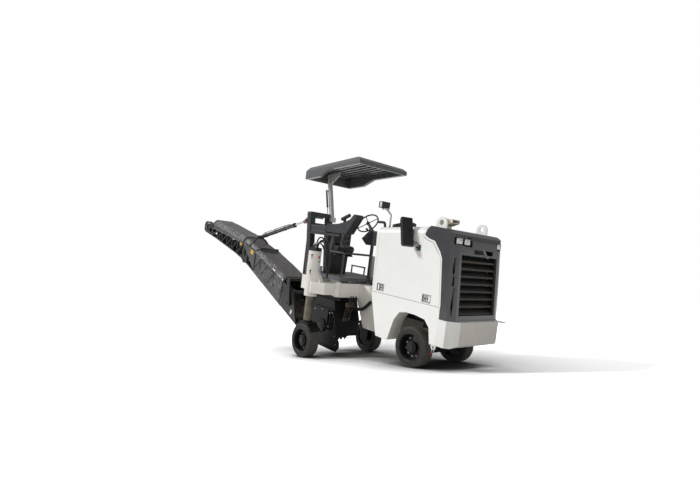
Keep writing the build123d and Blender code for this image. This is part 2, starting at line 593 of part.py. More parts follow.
def build_leg(y, out, reach):
    """Lifting leg: inner tube, mudguard over the tyre, cheek and stub axle."""
    wheel_z = TYRE_R - LEG_DROP
    tube = rod_z(REAR_X, y, LEG_R, LEG_LOW_Z - 4, LEG_TOP_Z)
    y0, y1 = sorted((y - out * (TYRE_W / 2 + reach + 24), y + out * (TYRE_W / 2 - 30)))
    guard = rod_y(REAR_X, wheel_z, TYRE_R + 30, y0, y1) - rod_y(REAR_X, wheel_z, TYRE_R + 12, y0 - 1, y1 + 1)
    guard = guard & prism_y([(REAR_X, wheel_z), (REAR_X - 380, wheel_z + 330), (REAR_X - 380, wheel_z + 500),
                             (REAR_X + 380, wheel_z + 500), (REAR_X + 380, wheel_z + 330)], y0 - 1, y1 + 1)
    saddle = block(REAR_X - 140, REAR_X + 140, y - 80, y + 80, wheel_z + TYRE_R + 13, LEG_LOW_Z)
    cy0, cy1 = sorted((y - out * (TYRE_W / 2 + reach), y - out * (TYRE_W / 2 + reach + 24)))
    cheek = prism_y([(REAR_X - 120, LEG_LOW_Z), (REAR_X + 120, LEG_LOW_Z), (REAR_X + 105, wheel_z - 40),
                     (REAR_X + 50, wheel_z - 105), (REAR_X - 50, wheel_z - 105), (REAR_X - 105, wheel_z - 40)], cy0, cy1)
    sy0, sy1 = sorted((y - out * (TYRE_W / 2 + reach), y + out * (TYRE_W / 2 - 50)))
    stub = rod_y(REAR_X, wheel_z, STUB_R, sy0, sy1)
    return fuse(tube, saddle, guard, cheek, stub)


# ------------------------------------------------------------------ milling unit
def build_housing():
    """Drum housing: open-bottomed box of plates round the drum, with its rear scraper slot."""
    front, rear = -1785.0, -2560.0
    top = 640.0
    left = DRUM_Y1 + 40
    right = DRUM_Y0 - 8
    outer = prism_y([(front, DRUM_Z - 130), (front, 300), (front - 130, top), (rear + 60, top), (rear, 420),
                     (rear, DRUM_Z - 130)], right, left)
    inner = prism_y([(front - HOUSING_T, DRUM_Z - 400), (front - HOUSING_T, 296), (front - 137, top - HOUSING_T),
                     (rear + 70, top - HOUSING_T), (rear + HOUSING_T, 414), (rear + HOUSING_T, DRUM_Z - 400)],
                    right + HOUSING_T, left - HOUSING_T)
    housing = outer - inner
    bore = rod_y(DRUM_X, DRUM_Z, 60 + RUN, right - 5, right + HOUSING_T + 5)
    bore = bore + rod_y(DRUM_X, DRUM_Z, 60 + RUN, left - HOUSING_T - 5, left + 5)
    throat = block(rear - 5, rear + 30, MAST_Y - 210, MAST_Y + 200, 60, 400)
    hanger = block(-2480, BEAM_X - 40, right + 60, left - 20, top - 1, BEAM_LOW_Z)
    return housing - bore - throat + hanger


def build_drum():
    """Milling drum with its tools set on two opposed spirals that feed the middle."""
    drum = rod_y(DRUM_X, DRUM_Z, DRUM_R, DRUM_Y0 + 14, DRUM_Y1 - 14)
    shaft = rod_y(DRUM_X, DRUM_Z, 60, DRUM_Y0 - 6, DRUM_Y1 + 38)
    drum = drum + shaft
    pitch = (DRUM_Y1 - DRUM_Y0 - 60) / (TOOL_ROWS - 1)
    for row in range(TOOL_ROWS):
        y = DRUM_Y0 + 30 + row * pitch
        from_middle = abs(row - (TOOL_ROWS - 1) / 2)
        for start in range(TOOLS_PER_ROW):
            angle = from_middle * 31.0 + start * 360.0 / TOOLS_PER_ROW
            foot = Box(58, 24, 40)
            foot = Pos(0, 0, DRUM_R + 8) * foot
            pick = Pos(12, 0, DRUM_R + 28) * Rot(Y=38) * Pos(0, 0, 14) * Cone(11, 4, 34)
            tool = foot + pick
            drum = drum + Pos(DRUM_X, y, DRUM_Z) * Rot(Y=angle) * tool
    return drum


def build_side_plate():
    """Right side plate that floats on the road beside the drum."""
    y1 = DRUM_Y0 - 8 - CLEAR
    y0 = y1 - 16
    outline = [(-2620, -150), (-2540, -245), (-1690, -245), (-1612, -160), (-1625, -60), (-1720, 60), (-1800, 330),
               (-1890, 470), (-2460, 470), (-2620, 120)]
    plate = prism_y(outline, y0, y1)
    for x in (-1900, -2430):
        plate = plate + block(x - 14, x + 14, y1 - 1, y1 + CLEAR - SEAT, 300, 460)
    return plate - rod_y(DRUM_X, DRUM_Z, 130, y0 - 2, y1 + 2)


# ------------------------------------------------------------------ operator's stand
def build_platform():
    """Floor of the stand with its walkway on the left, notched round the left column."""
    floor = block(FLOOR_REAR_X, FLOOR_FRONT_X, -600, 600, FLOOR_LOW_Z, FLOOR_TOP_Z)
    walk = block(FLOOR_FRONT_X - 10, HOOD_REAR_X - 8, 80, 600, FLOOR_LOW_Z, FLOOR_TOP_Z)
    skirt = block(FLOOR_REAR_X, FLOOR_FRONT_X - 610, -600, -588, FLOOR_TOP_Z - 5, FLOOR_TOP_Z + 130)
    hole = rod_z(REAR_X, LEFT_LEG_Y, LEFT_COLUMN_R, FLOOR_LOW_Z - 5, FLOOR_TOP_Z + 5)
    feet = []
    for x, y in ((-1880, -450), (-1880, 400), (-2910, -500), (-2910, 300)):
        feet.append(block(x - 40, x + 40, y - 60, y + 60, SPINE_TOP_Z, FLOOR_LOW_Z))
    return fuse(floor, walk, skirt, *feet) - hole - mast_slice(SPINE_TOP_Z, 1300, MAST_Y - MAST_HALF, MAST_Y + MAST_HALF)


def build_rails():
    """Guard rail round the right front corner of the stand, with its posts."""
    corner = (FLOOR_FRONT_X - 30, -575)
    rail = rod_y(corner[0], RAIL_Z, RAIL_R, corner[1] - RAIL_R, 80)
    side = rod_x(corner[1], RAIL_Z, RAIL_R, -2380, corner[0])
    posts = [rod_z(corner[0], corner[1], RAIL_R, FLOOR_TOP_Z, RAIL_Z),
             block(corner[0] - 26, corner[0] + 26, 60, 100, FLOOR_TOP_Z, RAIL_Z + 20),
             rod_z(-2380, corner[1], RAIL_R, FLOOR_TOP_Z, RAIL_Z + RAIL_R)]
    return fuse(rail, side, *posts)


def build_left_rail():
    """Low grab rail at the left edge of the stand."""
    y = 575.0
    posts = [rod_z(-2930, y, 16, FLOOR_TOP_Z, 1230), rod_z(-2520, y, 16, FLOOR_TOP_Z, 1230)]
    return fuse(rod_x(y, 1230, 16, -2946, -2504), *posts)


def build_seat_base():
    """Closed box under the seat."""
    x = SEAT_REAR_X
    return prism_y([(x, FLOOR_TOP_Z), (x + 215, FLOOR_TOP_Z), (x + 240, 1440), (x, 1440)], SEAT_Y - 200, SEAT_Y + 190)


def build_seat():
    """Seat cushion and back on its slide plate."""
    x = SEAT_REAR_X
    slide = block(x + 20, x + 400, SEAT_Y - 180, SEAT_Y + 180, 1440 + SEAT, 1500)
    cushion = block(x, x + 440, SEAT_Y - 215, SEAT_Y + 215, 1500, 1640)
    cushion = fillet(cushion.edges().filter_by(Axis.Z), 50)
    back = prism_y([(x, 1600), (x + 100, 1600), (x, 2040), (x - 100, 2040)], SEAT_Y - 200, SEAT_Y + 200)
    return fuse(slide, cushion, back)


def build_console(mast):
    """Control console at the operator's right: box, wedge-shaped panel, grab handle and armrest bar."""
    y0, y1 = -560.0, -380.0
    wedge = prism_y([(-2470, 1868), (-1867, 1868), (-1640, 2175), (-1660, 2220), (-1700, 2225), (-1807, 2125),
                     (-1967, 2072), (-2143, 2034), (-2470, 2016)], y0, y1)
    pod = block(-2010, -1900, y0 + 10, y1 - 20, 1620, 1869)
    arm = block(-3060, -2460, y0, y0 + 80, 1800, 1985)
    ledge = block(-3060, -2060, y0 - 12, y0 + 60, 1800, 1846)
    leg = prism_y([(-2210, 1850), (-2300, 1850), (-2440, FLOOR_TOP_Z), (-2350, FLOOR_TOP_Z)], y0 + 20, y0 + 76)
    handle = bar((-2140, y0 + 90, 2130), (-1930, y0 + 90, 2210), 27) + bar((-2060, y0 + 90, 2160), (-2050, y0 + 90, 2040), 12)
    return fuse(wedge, pod, arm, ledge, leg, handle) - mast


def build_steering_post():
    """Steering pedestal on its post at the front of the stand."""
    box_side = [(-1812, 1715), (-1640, 1715), (-1640, 1960), (-1750, 1990), (-1954, 1824)]
    pedestal = prism_y(box_side, -100, 145)
    post = block(-1856, -1804, 60, 100, RAIL_Z + 20, 1780)
    x, y, z = STEER
    lean, rise = sin(radians(STEER_TILT)), cos(radians(STEER_TILT))
    near, far = 15 + SEAT, 240
    shaft = bar((x + far * lean, y, z - far * rise), (x + near * lean, y, z - near * rise), 24)
    return fuse(pedestal, post, shaft)


def build_steering_wheel():
    """Steering wheel with four spokes and a spinner knob, on its raked shaft."""
    around = [radians(22.5 + 45 * side) for side in range(8)]
    section = Polyline(*[(212 + 14 * cos(a), 0, 14 * sin(a)) for a in around], close=True)
    ring = revolve(make_face(section), Axis.Z, 360)
    wheel_body = Cylinder(34, 30)
    for turn in range(4):
        wheel_body = wheel_body + Rot(Z=45 + turn * 90) * Pos(108, 0, 0) * Rot(Y=90) * Cylinder(8, 204)
    knob = Pos(-172, 112, 30) * Cylinder(20, 50)
    return Pos(*STEER) * Rot(Y=-STEER_TILT) * (wheel_body + ring + knob)


# ------------------------------------------------------------------ mast and canopy
def mast_x(z):
    """Middle of the mast's depth at height z: it leans back from its foot on the rear frame."""
    return MAST_X + (MAST_TOP_Z - z) * tan(radians(MAST_LEAN))


def mast_slice(z0, z1, y0, y1, grow=0.0):
    """Leaning slice of the mast between two heights; grow thins or thickens it."""
    half = 60 + grow
    return prism_y([(mast_x(z0) - half, z0), (mast_x(z0) + half, z0), (mast_x(z1) + half, z1),
                    (mast_x(z1) - half, z1)], y0, y1)


def build_mast():
    """Portal mast on the rear frame, with the upper lugs that the conveyor slews in."""
    y0, y1, foot = MAST_Y - MAST_HALF, MAST_Y + MAST_HALF, SPINE_TOP_Z
    frame = mast_slice(foot, MAST_TOP_Z, y0, y1)
    hole = mast_slice(foot - 10, MAST_TOP_Z - 95, y0 + MAST_POST, y1 - MAST_POST, 5)
    frame = fillet((frame - hole).edges().filter_by(lambda e: e.center().Z > MAST_TOP_Z - 1 and (
        abs(e.center().Y - MAST_Y) > MAST_HALF - 1)), 38)
    middle = mast_slice(1820, 1880, y0 + 30, y1 - 30, -20)
    carrier = mast_slice(1950, 2022, y0 + MAST_POST - 1, y1 - MAST_POST + 1, -8)
    frame = fuse(frame, middle, carrier)
    for z0, z1, half in SLEW_LUGS[1:]:
        frame = frame + slew_lug(mast_x(z1) - 40, z0, z1, half)
    return frame


def slew_lug(x, z0, z1, half):
    """Lug of the slewing pin: a tapered plate that starts at x, with the pin's bore."""
    lug = prism_z([(x, MAST_Y - half), (SLEW_X, MAST_Y - 52), (SLEW_X, MAST_Y + 52), (x, MAST_Y + half)], z0, z1)
    return lug + rod_z(SLEW_X, MAST_Y, 52, z0, z1) - rod_z(SLEW_X, MAST_Y, SLEW_R + RUN, z0 - 1, z1 + 1)


def build_canopy_post(canopy, mast):
    """White post of the canopy, with its foot block and head plate."""
    foot, head = (-3000.0, -50.0, 2100.0), (-3275.0, -50.0, 3060.0)
    lean = degrees(atan2(foot[0] - head[0], head[2] - foot[2]))
    length = hypot(head[0] - foot[0], head[2] - foot[2])
    post = Pos(*foot) * Rot(Y=-lean) * Pos(0, 0, length / 2) * Box(70, 70, length)
    base = block(MAST_X, MAST_X + 145, -105, 5, 2080, 2180)
    head_plate = prism_y([(-3290, 2870), (-3190, 2850), (-2930, 3040), (-2930, 3128), (-3300, 3068)], -62, -38)
    strut = bar((-3075, -112, 2150), (-3140, -112, 2400), 9) + bar((-3140, -112, 2400), (-3235, -112, 2730), 17)
    ears = [block(-3090, -3050, -120, 6, 2120, 2165), block(-3262, -3205, -120, -40, 2712, 2745)]
    return fuse(post, base, head_plate, strut, *ears) - mast - canopy


def canopy_roof_z(x):
    """Height of the canopy's top at x."""
    share = (x - CANOPY_REAR_X) / (CANOPY_FRONT_X - CANOPY_REAR_X)
    return CANOPY_REAR_Z + share * (CANOPY_FRONT_Z - CANOPY_REAR_Z)


def build_canopy():
    """Moulded canopy: shallow box with chamfered rim, stepped side skirts and ribs below."""
    skirt = [(CANOPY_REAR_X, CANOPY_REAR_Z - 225), (-2870, 2925), (-2560, 3050), (CANOPY_FRONT_X, 3118),
             (CANOPY_FRONT_X, CANOPY_FRONT_Z - 55), (CANOPY_FRONT_X - 90, CANOPY_FRONT_Z),
             (CANOPY_REAR_X + 90, CANOPY_REAR_Z + 12), (CANOPY_REAR_X, CANOPY_REAR_Z - 50)]
    roof = prism_y(skirt, -CANOPY_HALF, CANOPY_HALF)
    edges = roof.edges().filter_by(lambda e: abs(e.center().Y) > CANOPY_HALF - 1 and abs(e.tangent_at(0.5).X) > 0.95
                                   and e.center().Z > 3140)
    roof = chamfer(edges, 34, 70)
    inner = [(CANOPY_REAR_X + CANOPY_T, 2800), (CANOPY_REAR_X + CANOPY_T, CANOPY_REAR_Z - 62),
             (CANOPY_REAR_X + 110, CANOPY_REAR_Z - 20), (CANOPY_FRONT_X - 110, CANOPY_FRONT_Z - 32),
             (CANOPY_FRONT_X - CANOPY_T, CANOPY_FRONT_Z - 66), (CANOPY_FRONT_X - CANOPY_T, 2800)]
    roof = roof - prism_y(inner, -CANOPY_HALF + 76, CANOPY_HALF - 76)
    rear, front = CANOPY_REAR_X + 150, CANOPY_FRONT_X - 150
    for index in range(7):
        y = -390 + index * 130
        rib = prism_y([(rear, canopy_roof_z(rear) - 52), (front, canopy_roof_z(front) - 52),
                       (front, canopy_roof_z(front) - 25), (rear, canopy_roof_z(rear) - 15)], y - 16, y + 16)
        roof = roof + rib
    return roof


def build_work_lamp():
    """Work lamp on its bent pole at the rear of the hood."""
    x, y = -945.0, -395.0
    pole = fuse(rod_z(x, y, 15, hood_top_z(x + 15), 2262), bar((x, y, 2257), (x - 75, y - 40, 2352), 15))
    cradle = block(x - 135, x - 60, y - 95, y - 5, 2346, 2362)
    lamp = block(x - 170, x - 90, y - 145, y + 35, 2362, 2468)
    return fuse(pole, cradle, lamp)


def build_mirror():
    """Rear-view mirror at the right side of the hood, on its arm."""
    side = -HALF_W
    head = Pos(-230, side - 104, 1990) * Rot(Z=-18) * Rot(Y=-19) * Box(60, 190, 440)
    head = fillet(head.edges().filter_by(lambda e: e.length > 430), 22)
    boss = Pos(-196, side - 50, 2002) * Rot(Z=-18) * Box(50, 56, 60)
    elbow, knee = (-192, side - 26, 1880), (-96, side - 20, 1842)
    arm = bar((-196, side - 40, 1980), elbow, 11) + bar(elbow, knee, 11) + bar(knee, (-66, side - 10, 1800), 11)
    foot = block(-100, -20, side - 14, side, 1736, 1820)
    return fuse(head, boss, arm, foot)


# ------------------------------------------------------------------ conveyor
LOWER_FOOT = [(-3020, -60), (-5590, 942)]                       # bottom line of the lower section
LOWER_HEAD = [(-5510, 1275), (-5063, 1180), (-3616, 707), (-3260, 575)]
UPPER_FOOT = [(-5606, 952), (-6176, 1093), (-7445, 1355), (-8230, 1492)]
UPPER_HEAD = [(-8230, 1800), (-7932, 1800), (-7482, 1640), (-6082, 1459), (-5640, 1378)]
HEAD_PULLEY = (-8180.0, 1640.0, 118.0)                          # x, z, radius
BELT_LOWER = [(-3090, 62), (-5480, 994)]                        # underside of the carrying run
BELT_UPPER = [(-5730, 1096), (-6176, 1200), (-7500, 1480), (-8060, 1758.3)]
BELT_T = 14.0
BELT_HALF = 262.0
IDLER_R = 38.0
TRUNNION_R = 30.0
FOLD_R = 20.0
YOKE_R = 20.0
TRUSS_T = 34.0
COVER_T = 6.0


def chain_z(chain, x):
    """Height of a chain of (x, z) points at x."""
    points = sorted(chain)
    for (x0, z0), (x1, z1) in zip(points, points[1:]):
        if x0 <= x <= x1:
            return z0 + (z1 - z0) * (x - x0) / (x1 - x0)
    return points[0][1] if x < points[0][0] else points[-1][1]


def truss_windows(foot, head, x0, x1, bays, chord, tie):
    """Triangular windows between the chords of a truss, from x0 to x1."""
    windows = []
    step = (x1 - x0) / bays
    for bay in range(bays):
        a, b = x0 + bay * step, x0 + (bay + 1) * step
        low_a, low_b = chain_z(foot, a) + chord, chain_z(foot, b) + chord
        top_a, top_b = chain_z(head, a) - chord, chain_z(head, b) - chord
        side = tie if step > 0 else -tie
        windows.append([(a + side, low_a), (b - 1.9 * side, low_b), (a + side, top_a - chord)])
        windows.append([(b - side, low_b + chord), (b - side, top_b), (a + 1.9 * side, top_a)])
    return windows


def conveyor_sides(foot, head, windows, thickness=TRUSS_T):
    """Both side frames of a conveyor section, with their windows cut."""
    outline = [*foot, *head]
    sides = []
    for sign in (-1, 1):
        y0, y1 = sorted((MAST_Y + sign * CONV_HALF, MAST_Y + sign * (CONV_HALF - thickness)))
        side = prism_y(outline, y0, y1)
        for window in windows:
            side = side - prism_y(window, y0 - 1, y1 + 1)
        sides.append(side)
    return sides


def build_conveyor_lower():
    """Lower conveyor section: truss sides, pan, idlers, lift trunnions and the ears of the fold."""
    windows = truss_windows(LOWER_FOOT, LOWER_HEAD, -3760, -5440, 5, 34, 22)
    sides = conveyor_sides(LOWER_FOOT, LOWER_HEAD, windows)
    y0, y1 = MAST_Y - CONV_HALF + TRUSS_T - 1, MAST_Y + CONV_HALF - TRUSS_T + 1
    pan = prism_y([(-3020, -60), (-5590, 942), (-5590, 950), (-3020, -52)], y0, y1)
    whole = fuse(*sides, pan)
    for x in (-3270, -5440):
        z_a, z_b = chain_z(LOWER_HEAD, x), chain_z(LOWER_HEAD, x - 50)
        whole = whole + prism_y([(x, z_a - 46), (x - 50, z_b - 46), (x - 50, z_b - 4), (x, z_a - 4)], y0, y1)
    for x in (-3140, -3900, -4700, -5440):
        whole = whole + idler(BELT_LOWER, LOWER_FOOT, x)
    x, z = CONV_LIFT
    fx, fz = CONV_FOLD
    whole = whole - rod_y(fx, fz, 32 + CLEAR, y0 - TRUSS_T - 5, y1 + TRUSS_T + 5)
    for sign in (-1, 1):
        outer = MAST_Y + sign * CONV_HALF
        whole = whole + rod_y(x, z, TRUNNION_R, *sorted((outer - sign * 2, outer + sign * 44)))
        whole = whole + prism_y([(x - 120, z - 60), (x + 90, z - 90), (x + 90, z + 60), (x - 120, z + 90)],
                                *sorted((outer, outer - sign * TRUSS_T)))
        ear = prism_y([(fx + 20, fz - 34), (fx + 190, fz - 30), (fx + 200, fz + 150), (fx + 60, fz + 150),
                       (fx - 30, fz + 16)], *sorted((outer, outer + sign * 22)))
        ear = ear + rod_y(fx, fz, 34, *sorted((outer, outer + sign * 22)))
        ear = ear - block(fx - 60, fx + 40, *sorted((outer - sign * 5, outer + sign * SEAT)), fz - 100, fz + 400)
        whole = whole + ear + rod_y(fx, fz, FOLD_R, *sorted((outer - sign * TRUSS_T, outer + sign * 26)))
    return whole


def build_yoke():
    """V-shaped yoke on the lower section that the cylinder's barrel is pinned to."""
    x, z = YOKE_PIN
    pieces = []
    for sign in (-1, 1):
        y = MAST_Y + sign * (CONV_HALF - 20)
        top_a, top_b = chain_z(LOWER_HEAD, -5500), chain_z(LOWER_HEAD, -5400)
        pieces.append(prism_y([(-5500, top_a), (-5400, top_b), (-5400, top_b + 50), (-5500, top_a + 50)], y - 16, y + 16))
        pieces.append(bar((-5450, y, top_a + 20), (x - 60, MAST_Y + sign * 50, z - 10), 15))
        pieces.append(prism_y([(x - 75, z - 34), (x + 34, z - 34), (x + 34, z + 34), (x - 75, z + 30)],
                              *sorted((MAST_Y + sign * 34, MAST_Y + sign * 56))))
    pieces.append(block(x - 95, x - 62, MAST_Y - 56, MAST_Y + 56, z - 34, z + 28))
    return fuse(*pieces) - rod_y(x, z, YOKE_R + RUN, MAST_Y - 70, MAST_Y + 70)


def cover_section(x, ridge, foot, bevel, drop):
    """Face across the conveyor at x: the cut canvas of a cover, an arch with bevelled shoulders."""
    top, low, half = chain_z(ridge, x), chain_z(foot, x), CONV_HALF + COVER_T + SEAT
    outer = [(-half, low), (-half, top - drop), (bevel - half, top), (half - bevel, top), (half, top - drop), (half, low)]
    half, top = half - COVER_T, top - COVER_T
    inner = [(half, low), (half, top - drop), (half - bevel, top), (bevel - half, top), (-half, top - drop), (-half, low)]
    return make_face(Polyline([(x, MAST_Y + y, z) for y, z in [*outer, *inner]], close=True))


def conveyor_cover(foot, ridge, bevel, drop):
    """Canvas cover of a section: two sides and a bevelled top, open below and at its ends."""
    faces = [cover_section(x, ridge, foot, bevel, drop) for x, _ in ridge]
    return fuse(*[loft([a, b], ruled=True) for a, b in zip(faces, faces[1:])])


def build_cover_lower():
    """Canvas cover of the lower section."""
    rear, front = -5063, -3650
    foot = [(rear, chain_z(LOWER_FOOT, rear) + 40), (front, chain_z(LOWER_FOOT, front) + 40)]
    return conveyor_cover(foot, [(rear, 1300), (-4360, 1074), (front, 814)], 100, 72)


def build_cover_upper():
    """Canvas cover of the upper section."""
    rear, front = -7740, -5720
    foot = [(rear, chain_z(UPPER_HEAD, rear) - 110), (front, chain_z(UPPER_HEAD, front) - 40)]
    return conveyor_cover(foot, [(rear, 1864), (-7383, 1822), (-5904, 1564), (front, 1520)], 100, 110)


def build_conveyor_upper():
    """Upper conveyor section: open truss, pan, idlers, head plates and head drum."""
    windows = truss_windows(UPPER_FOOT, UPPER_HEAD, -5720, -7720, 6, 30, 18)
    windows.append([(-7800, 1500), (-7980, 1530), (-7980, 1640), (-7800, 1600)])
    sides = conveyor_sides(UPPER_FOOT, UPPER_HEAD, windows)
    y0, y1 = MAST_Y - CONV_HALF + TRUSS_T - 1, MAST_Y + CONV_HALF - TRUSS_T + 1
    chain = [*UPPER_FOOT[:3], (-8020, 1450)]
    pan = prism_y([*chain, *[(x, z + 8) for x, z in reversed(chain)]], y0, y1)
    whole = fuse(*sides, pan)
    for x in (-5700, -6800, -7760):
        z = chain_z(UPPER_HEAD, x)
        whole = whole + prism_y([(x, z - 40), (x - 40, z - 40), (x - 40, z - 6), (x, z - 6)], y0, y1)
    for x in (-5790, -6500, -7200):
        whole = whole + idler(BELT_UPPER, UPPER_FOOT, x)
    x, z, r = HEAD_PULLEY
    fx, fz = CONV_FOLD
    for sign in (-1, 1):
        ya, yb = sorted((MAST_Y + sign * (CONV_HALF - TRUSS_T), MAST_Y + sign * CONV_HALF))
        whole = whole + (rod_y(x - 30, z + 6, 156, ya, yb) & block(-8400, -8100, ya, yb, 1400, 1900))
        lug = rod_y(fx, fz, 32, ya, yb) + prism_y([(fx, fz - 32), (fx, fz + 30), (fx - 160, fz + 90), (fx - 160, fz + 40)],
                                                  ya, yb)
        whole = whole + lug - rod_y(fx, fz, FOLD_R + RUN, ya - 1, yb + 1)
    return whole + rod_y(x, z, r, y0, y1)


def idler_z(line, x):
    """Axis height of an idler that carries a belt's underside at x."""
    slope = (chain_z(line, x + 1) - chain_z(line, x - 1)) / 2
    return chain_z(line, x) - (IDLER_R + 0.02) * hypot(1, slope)


def idler(line, foot, x):
    """Idler under a belt at x, on a bracket at each side."""
    z = idler_z(line, x)
    whole = rod_y(x, z, IDLER_R, MAST_Y - CONV_HALF + TRUSS_T - 1, MAST_Y + CONV_HALF - TRUSS_T + 1)
    for sign in (-1, 1):
        ya, yb = sorted((MAST_Y + sign * CONV_HALF, MAST_Y + sign * (CONV_HALF - TRUSS_T)))
        whole = whole + prism_y([(x - 45, chain_z(foot, x - 45)), (x + 45, chain_z(foot, x + 45)),
                                 (x + 24, z + 24), (x - 24, z + 24)], ya, yb)
    return whole


def belt_run(line):
    """Carrying run of a belt along its line."""
    return prism_y([*line, *[(x, z + BELT_T) for x, z in reversed(line)]], MAST_Y - BELT_HALF, MAST_Y + BELT_HALF)


def build_belt_lower():
    """Belt with chevron cleats in the lower section."""
    (x0, z0), (x1, z1) = BELT_LOWER
    belt = belt_run(BELT_LOWER)
    slope = degrees(atan2(z1 - z0, x0 - x1))
    for index in range(9):
        share = (index + 0.7) / 9.6
        x, z = x0 + share * (x1 - x0), z0 + BELT_T + share * (z1 - z0)
        for sign in (-1, 1):
            cleat = Pos(x, MAST_Y + sign * 105, z + 10) * Rot(Y=slope) * Rot(Z=sign * 28) * Box(14, 235, 22)
            belt = belt + cleat
    return belt


def build_belt_upper():
    """Belt of the upper section, led round the head drum."""
    x, z, r = HEAD_PULLEY
    inner = r + SEAT
    y0, y1 = MAST_Y - BELT_HALF, MAST_Y + BELT_HALF
    ring = rod_y(x, z, inner + BELT_T, y0, y1) - rod_y(x, z, inner, y0 - 5, y1 + 5)
    ring = ring - block(x, x + 300, y0 - 5, y1 + 5, z - 200, z + 200)
    head = block(x - 1, x + 120, y0, y1, z + inner, z + inner + BELT_T)
    back = block(x - 1, x + 160, y0, y1, z - inner - BELT_T, z - inner)
    return belt_run(BELT_UPPER) + head + ring + back


def build_slew_frame():
    """Slewing frame: king pin, fork over the low end of the conveyor and clevis for the rod eye."""
    pin = rod_z(SLEW_X, MAST_Y, SLEW_R, 830, 2185)
    nut = rod_z(SLEW_X, MAST_Y, 46, 2153 + SEAT, 2186)
    boss = rod_z(SLEW_X, MAST_Y, 52, 800, 880 - SEAT)
    post = rod_z(SLEW_X, MAST_Y, 50, 922 + SEAT, 1973 - SEAT)
    hub = rod_z(SLEW_X, MAST_Y, 52, 2003 + SEAT, 2123 - SEAT)
    reach = CONV_HALF + 52
    cross = block(SLEW_X - 45, SLEW_X + 45, MAST_Y - reach, MAST_Y + reach, 780, 836)
    whole = fuse(pin, nut, boss, post, hub, cross)
    x, z = CONV_LIFT
    for sign in (-1, 1):
        ya, yb = sorted((MAST_Y + sign * (CONV_HALF + 24), MAST_Y + sign * reach))
        arm = prism_y([(SLEW_X - 45, 836), (SLEW_X + 45, 836), (x + 55, z), (x - 55, z)], ya, yb)
        arm = arm + rod_y(x, z, 60, ya, yb)
        whole = whole + (arm - rod_y(x, z, TRUNNION_R + RUN, ya - 1, yb + 1))
        ca, cb = sorted((MAST_Y + sign * 30, MAST_Y + sign * 48))
        cheek = prism_y([(SLEW_X, EYE_Z - 46), (SLEW_X, EYE_Z + 46), (EYE_X, EYE_Z + 40), (EYE_X, EYE_Z - 40)], ca, cb)
        whole = whole + cheek + rod_y(EYE_X, EYE_Z, 40, ca, cb)
    return whole + rod_y(EYE_X, EYE_Z, EYE_R, MAST_Y - 49, MAST_Y + 49)


def cylinder_axis():
    """Unit vector from the barrel pin to the rod eye, and their distance."""
    dx, dz = EYE_X - YOKE_PIN[0], EYE_Z - YOKE_PIN[1]
    length = hypot(dx, dz)
    return dx / length, dz / length, length


def build_barrel():
    """Barrel of the conveyor's lift cylinder with its foot eye and gland."""
    ux, uz, length = cylinder_axis()
    x, z = YOKE_PIN
    end = length - ROD_SHOWN

    def at(s):
        return (x + ux * s, MAST_Y, z + uz * s)
    bore = bar(at(90), at(end + 10), 22 + RUN)
    tube = bar(at(62), at(end), 44) + bar(at(20), at(64), 28) - bore
    eye = rod_y(x, z, 38, MAST_Y - 33, MAST_Y + 33)
    gland = bar(at(end - 60), at(end), 52) - bore
    pin = rod_y(x, z, YOKE_R, MAST_Y - 60, MAST_Y + 60)
    return fuse(tube, eye, gland, pin)


def build_rod():
    """Chromed rod with the eye that hangs on the mast's clevis."""
    ux, uz, length = cylinder_axis()
    x, z = YOKE_PIN

    def at(s):
        return (x + ux * s, MAST_Y, z + uz * s)
    rod = bar(at(length - ROD_SHOWN - 620), at(length - 60), 22)
    eye = rod_y(EYE_X, EYE_Z, 64, MAST_Y - 24, MAST_Y + 24)
    neck = bar(at(length - 130), at(length - 50), 34)
    return fuse(rod, eye, neck) - rod_y(EYE_X, EYE_Z, EYE_R + EYE_PLAY, MAST_Y - 40, MAST_Y + 40)


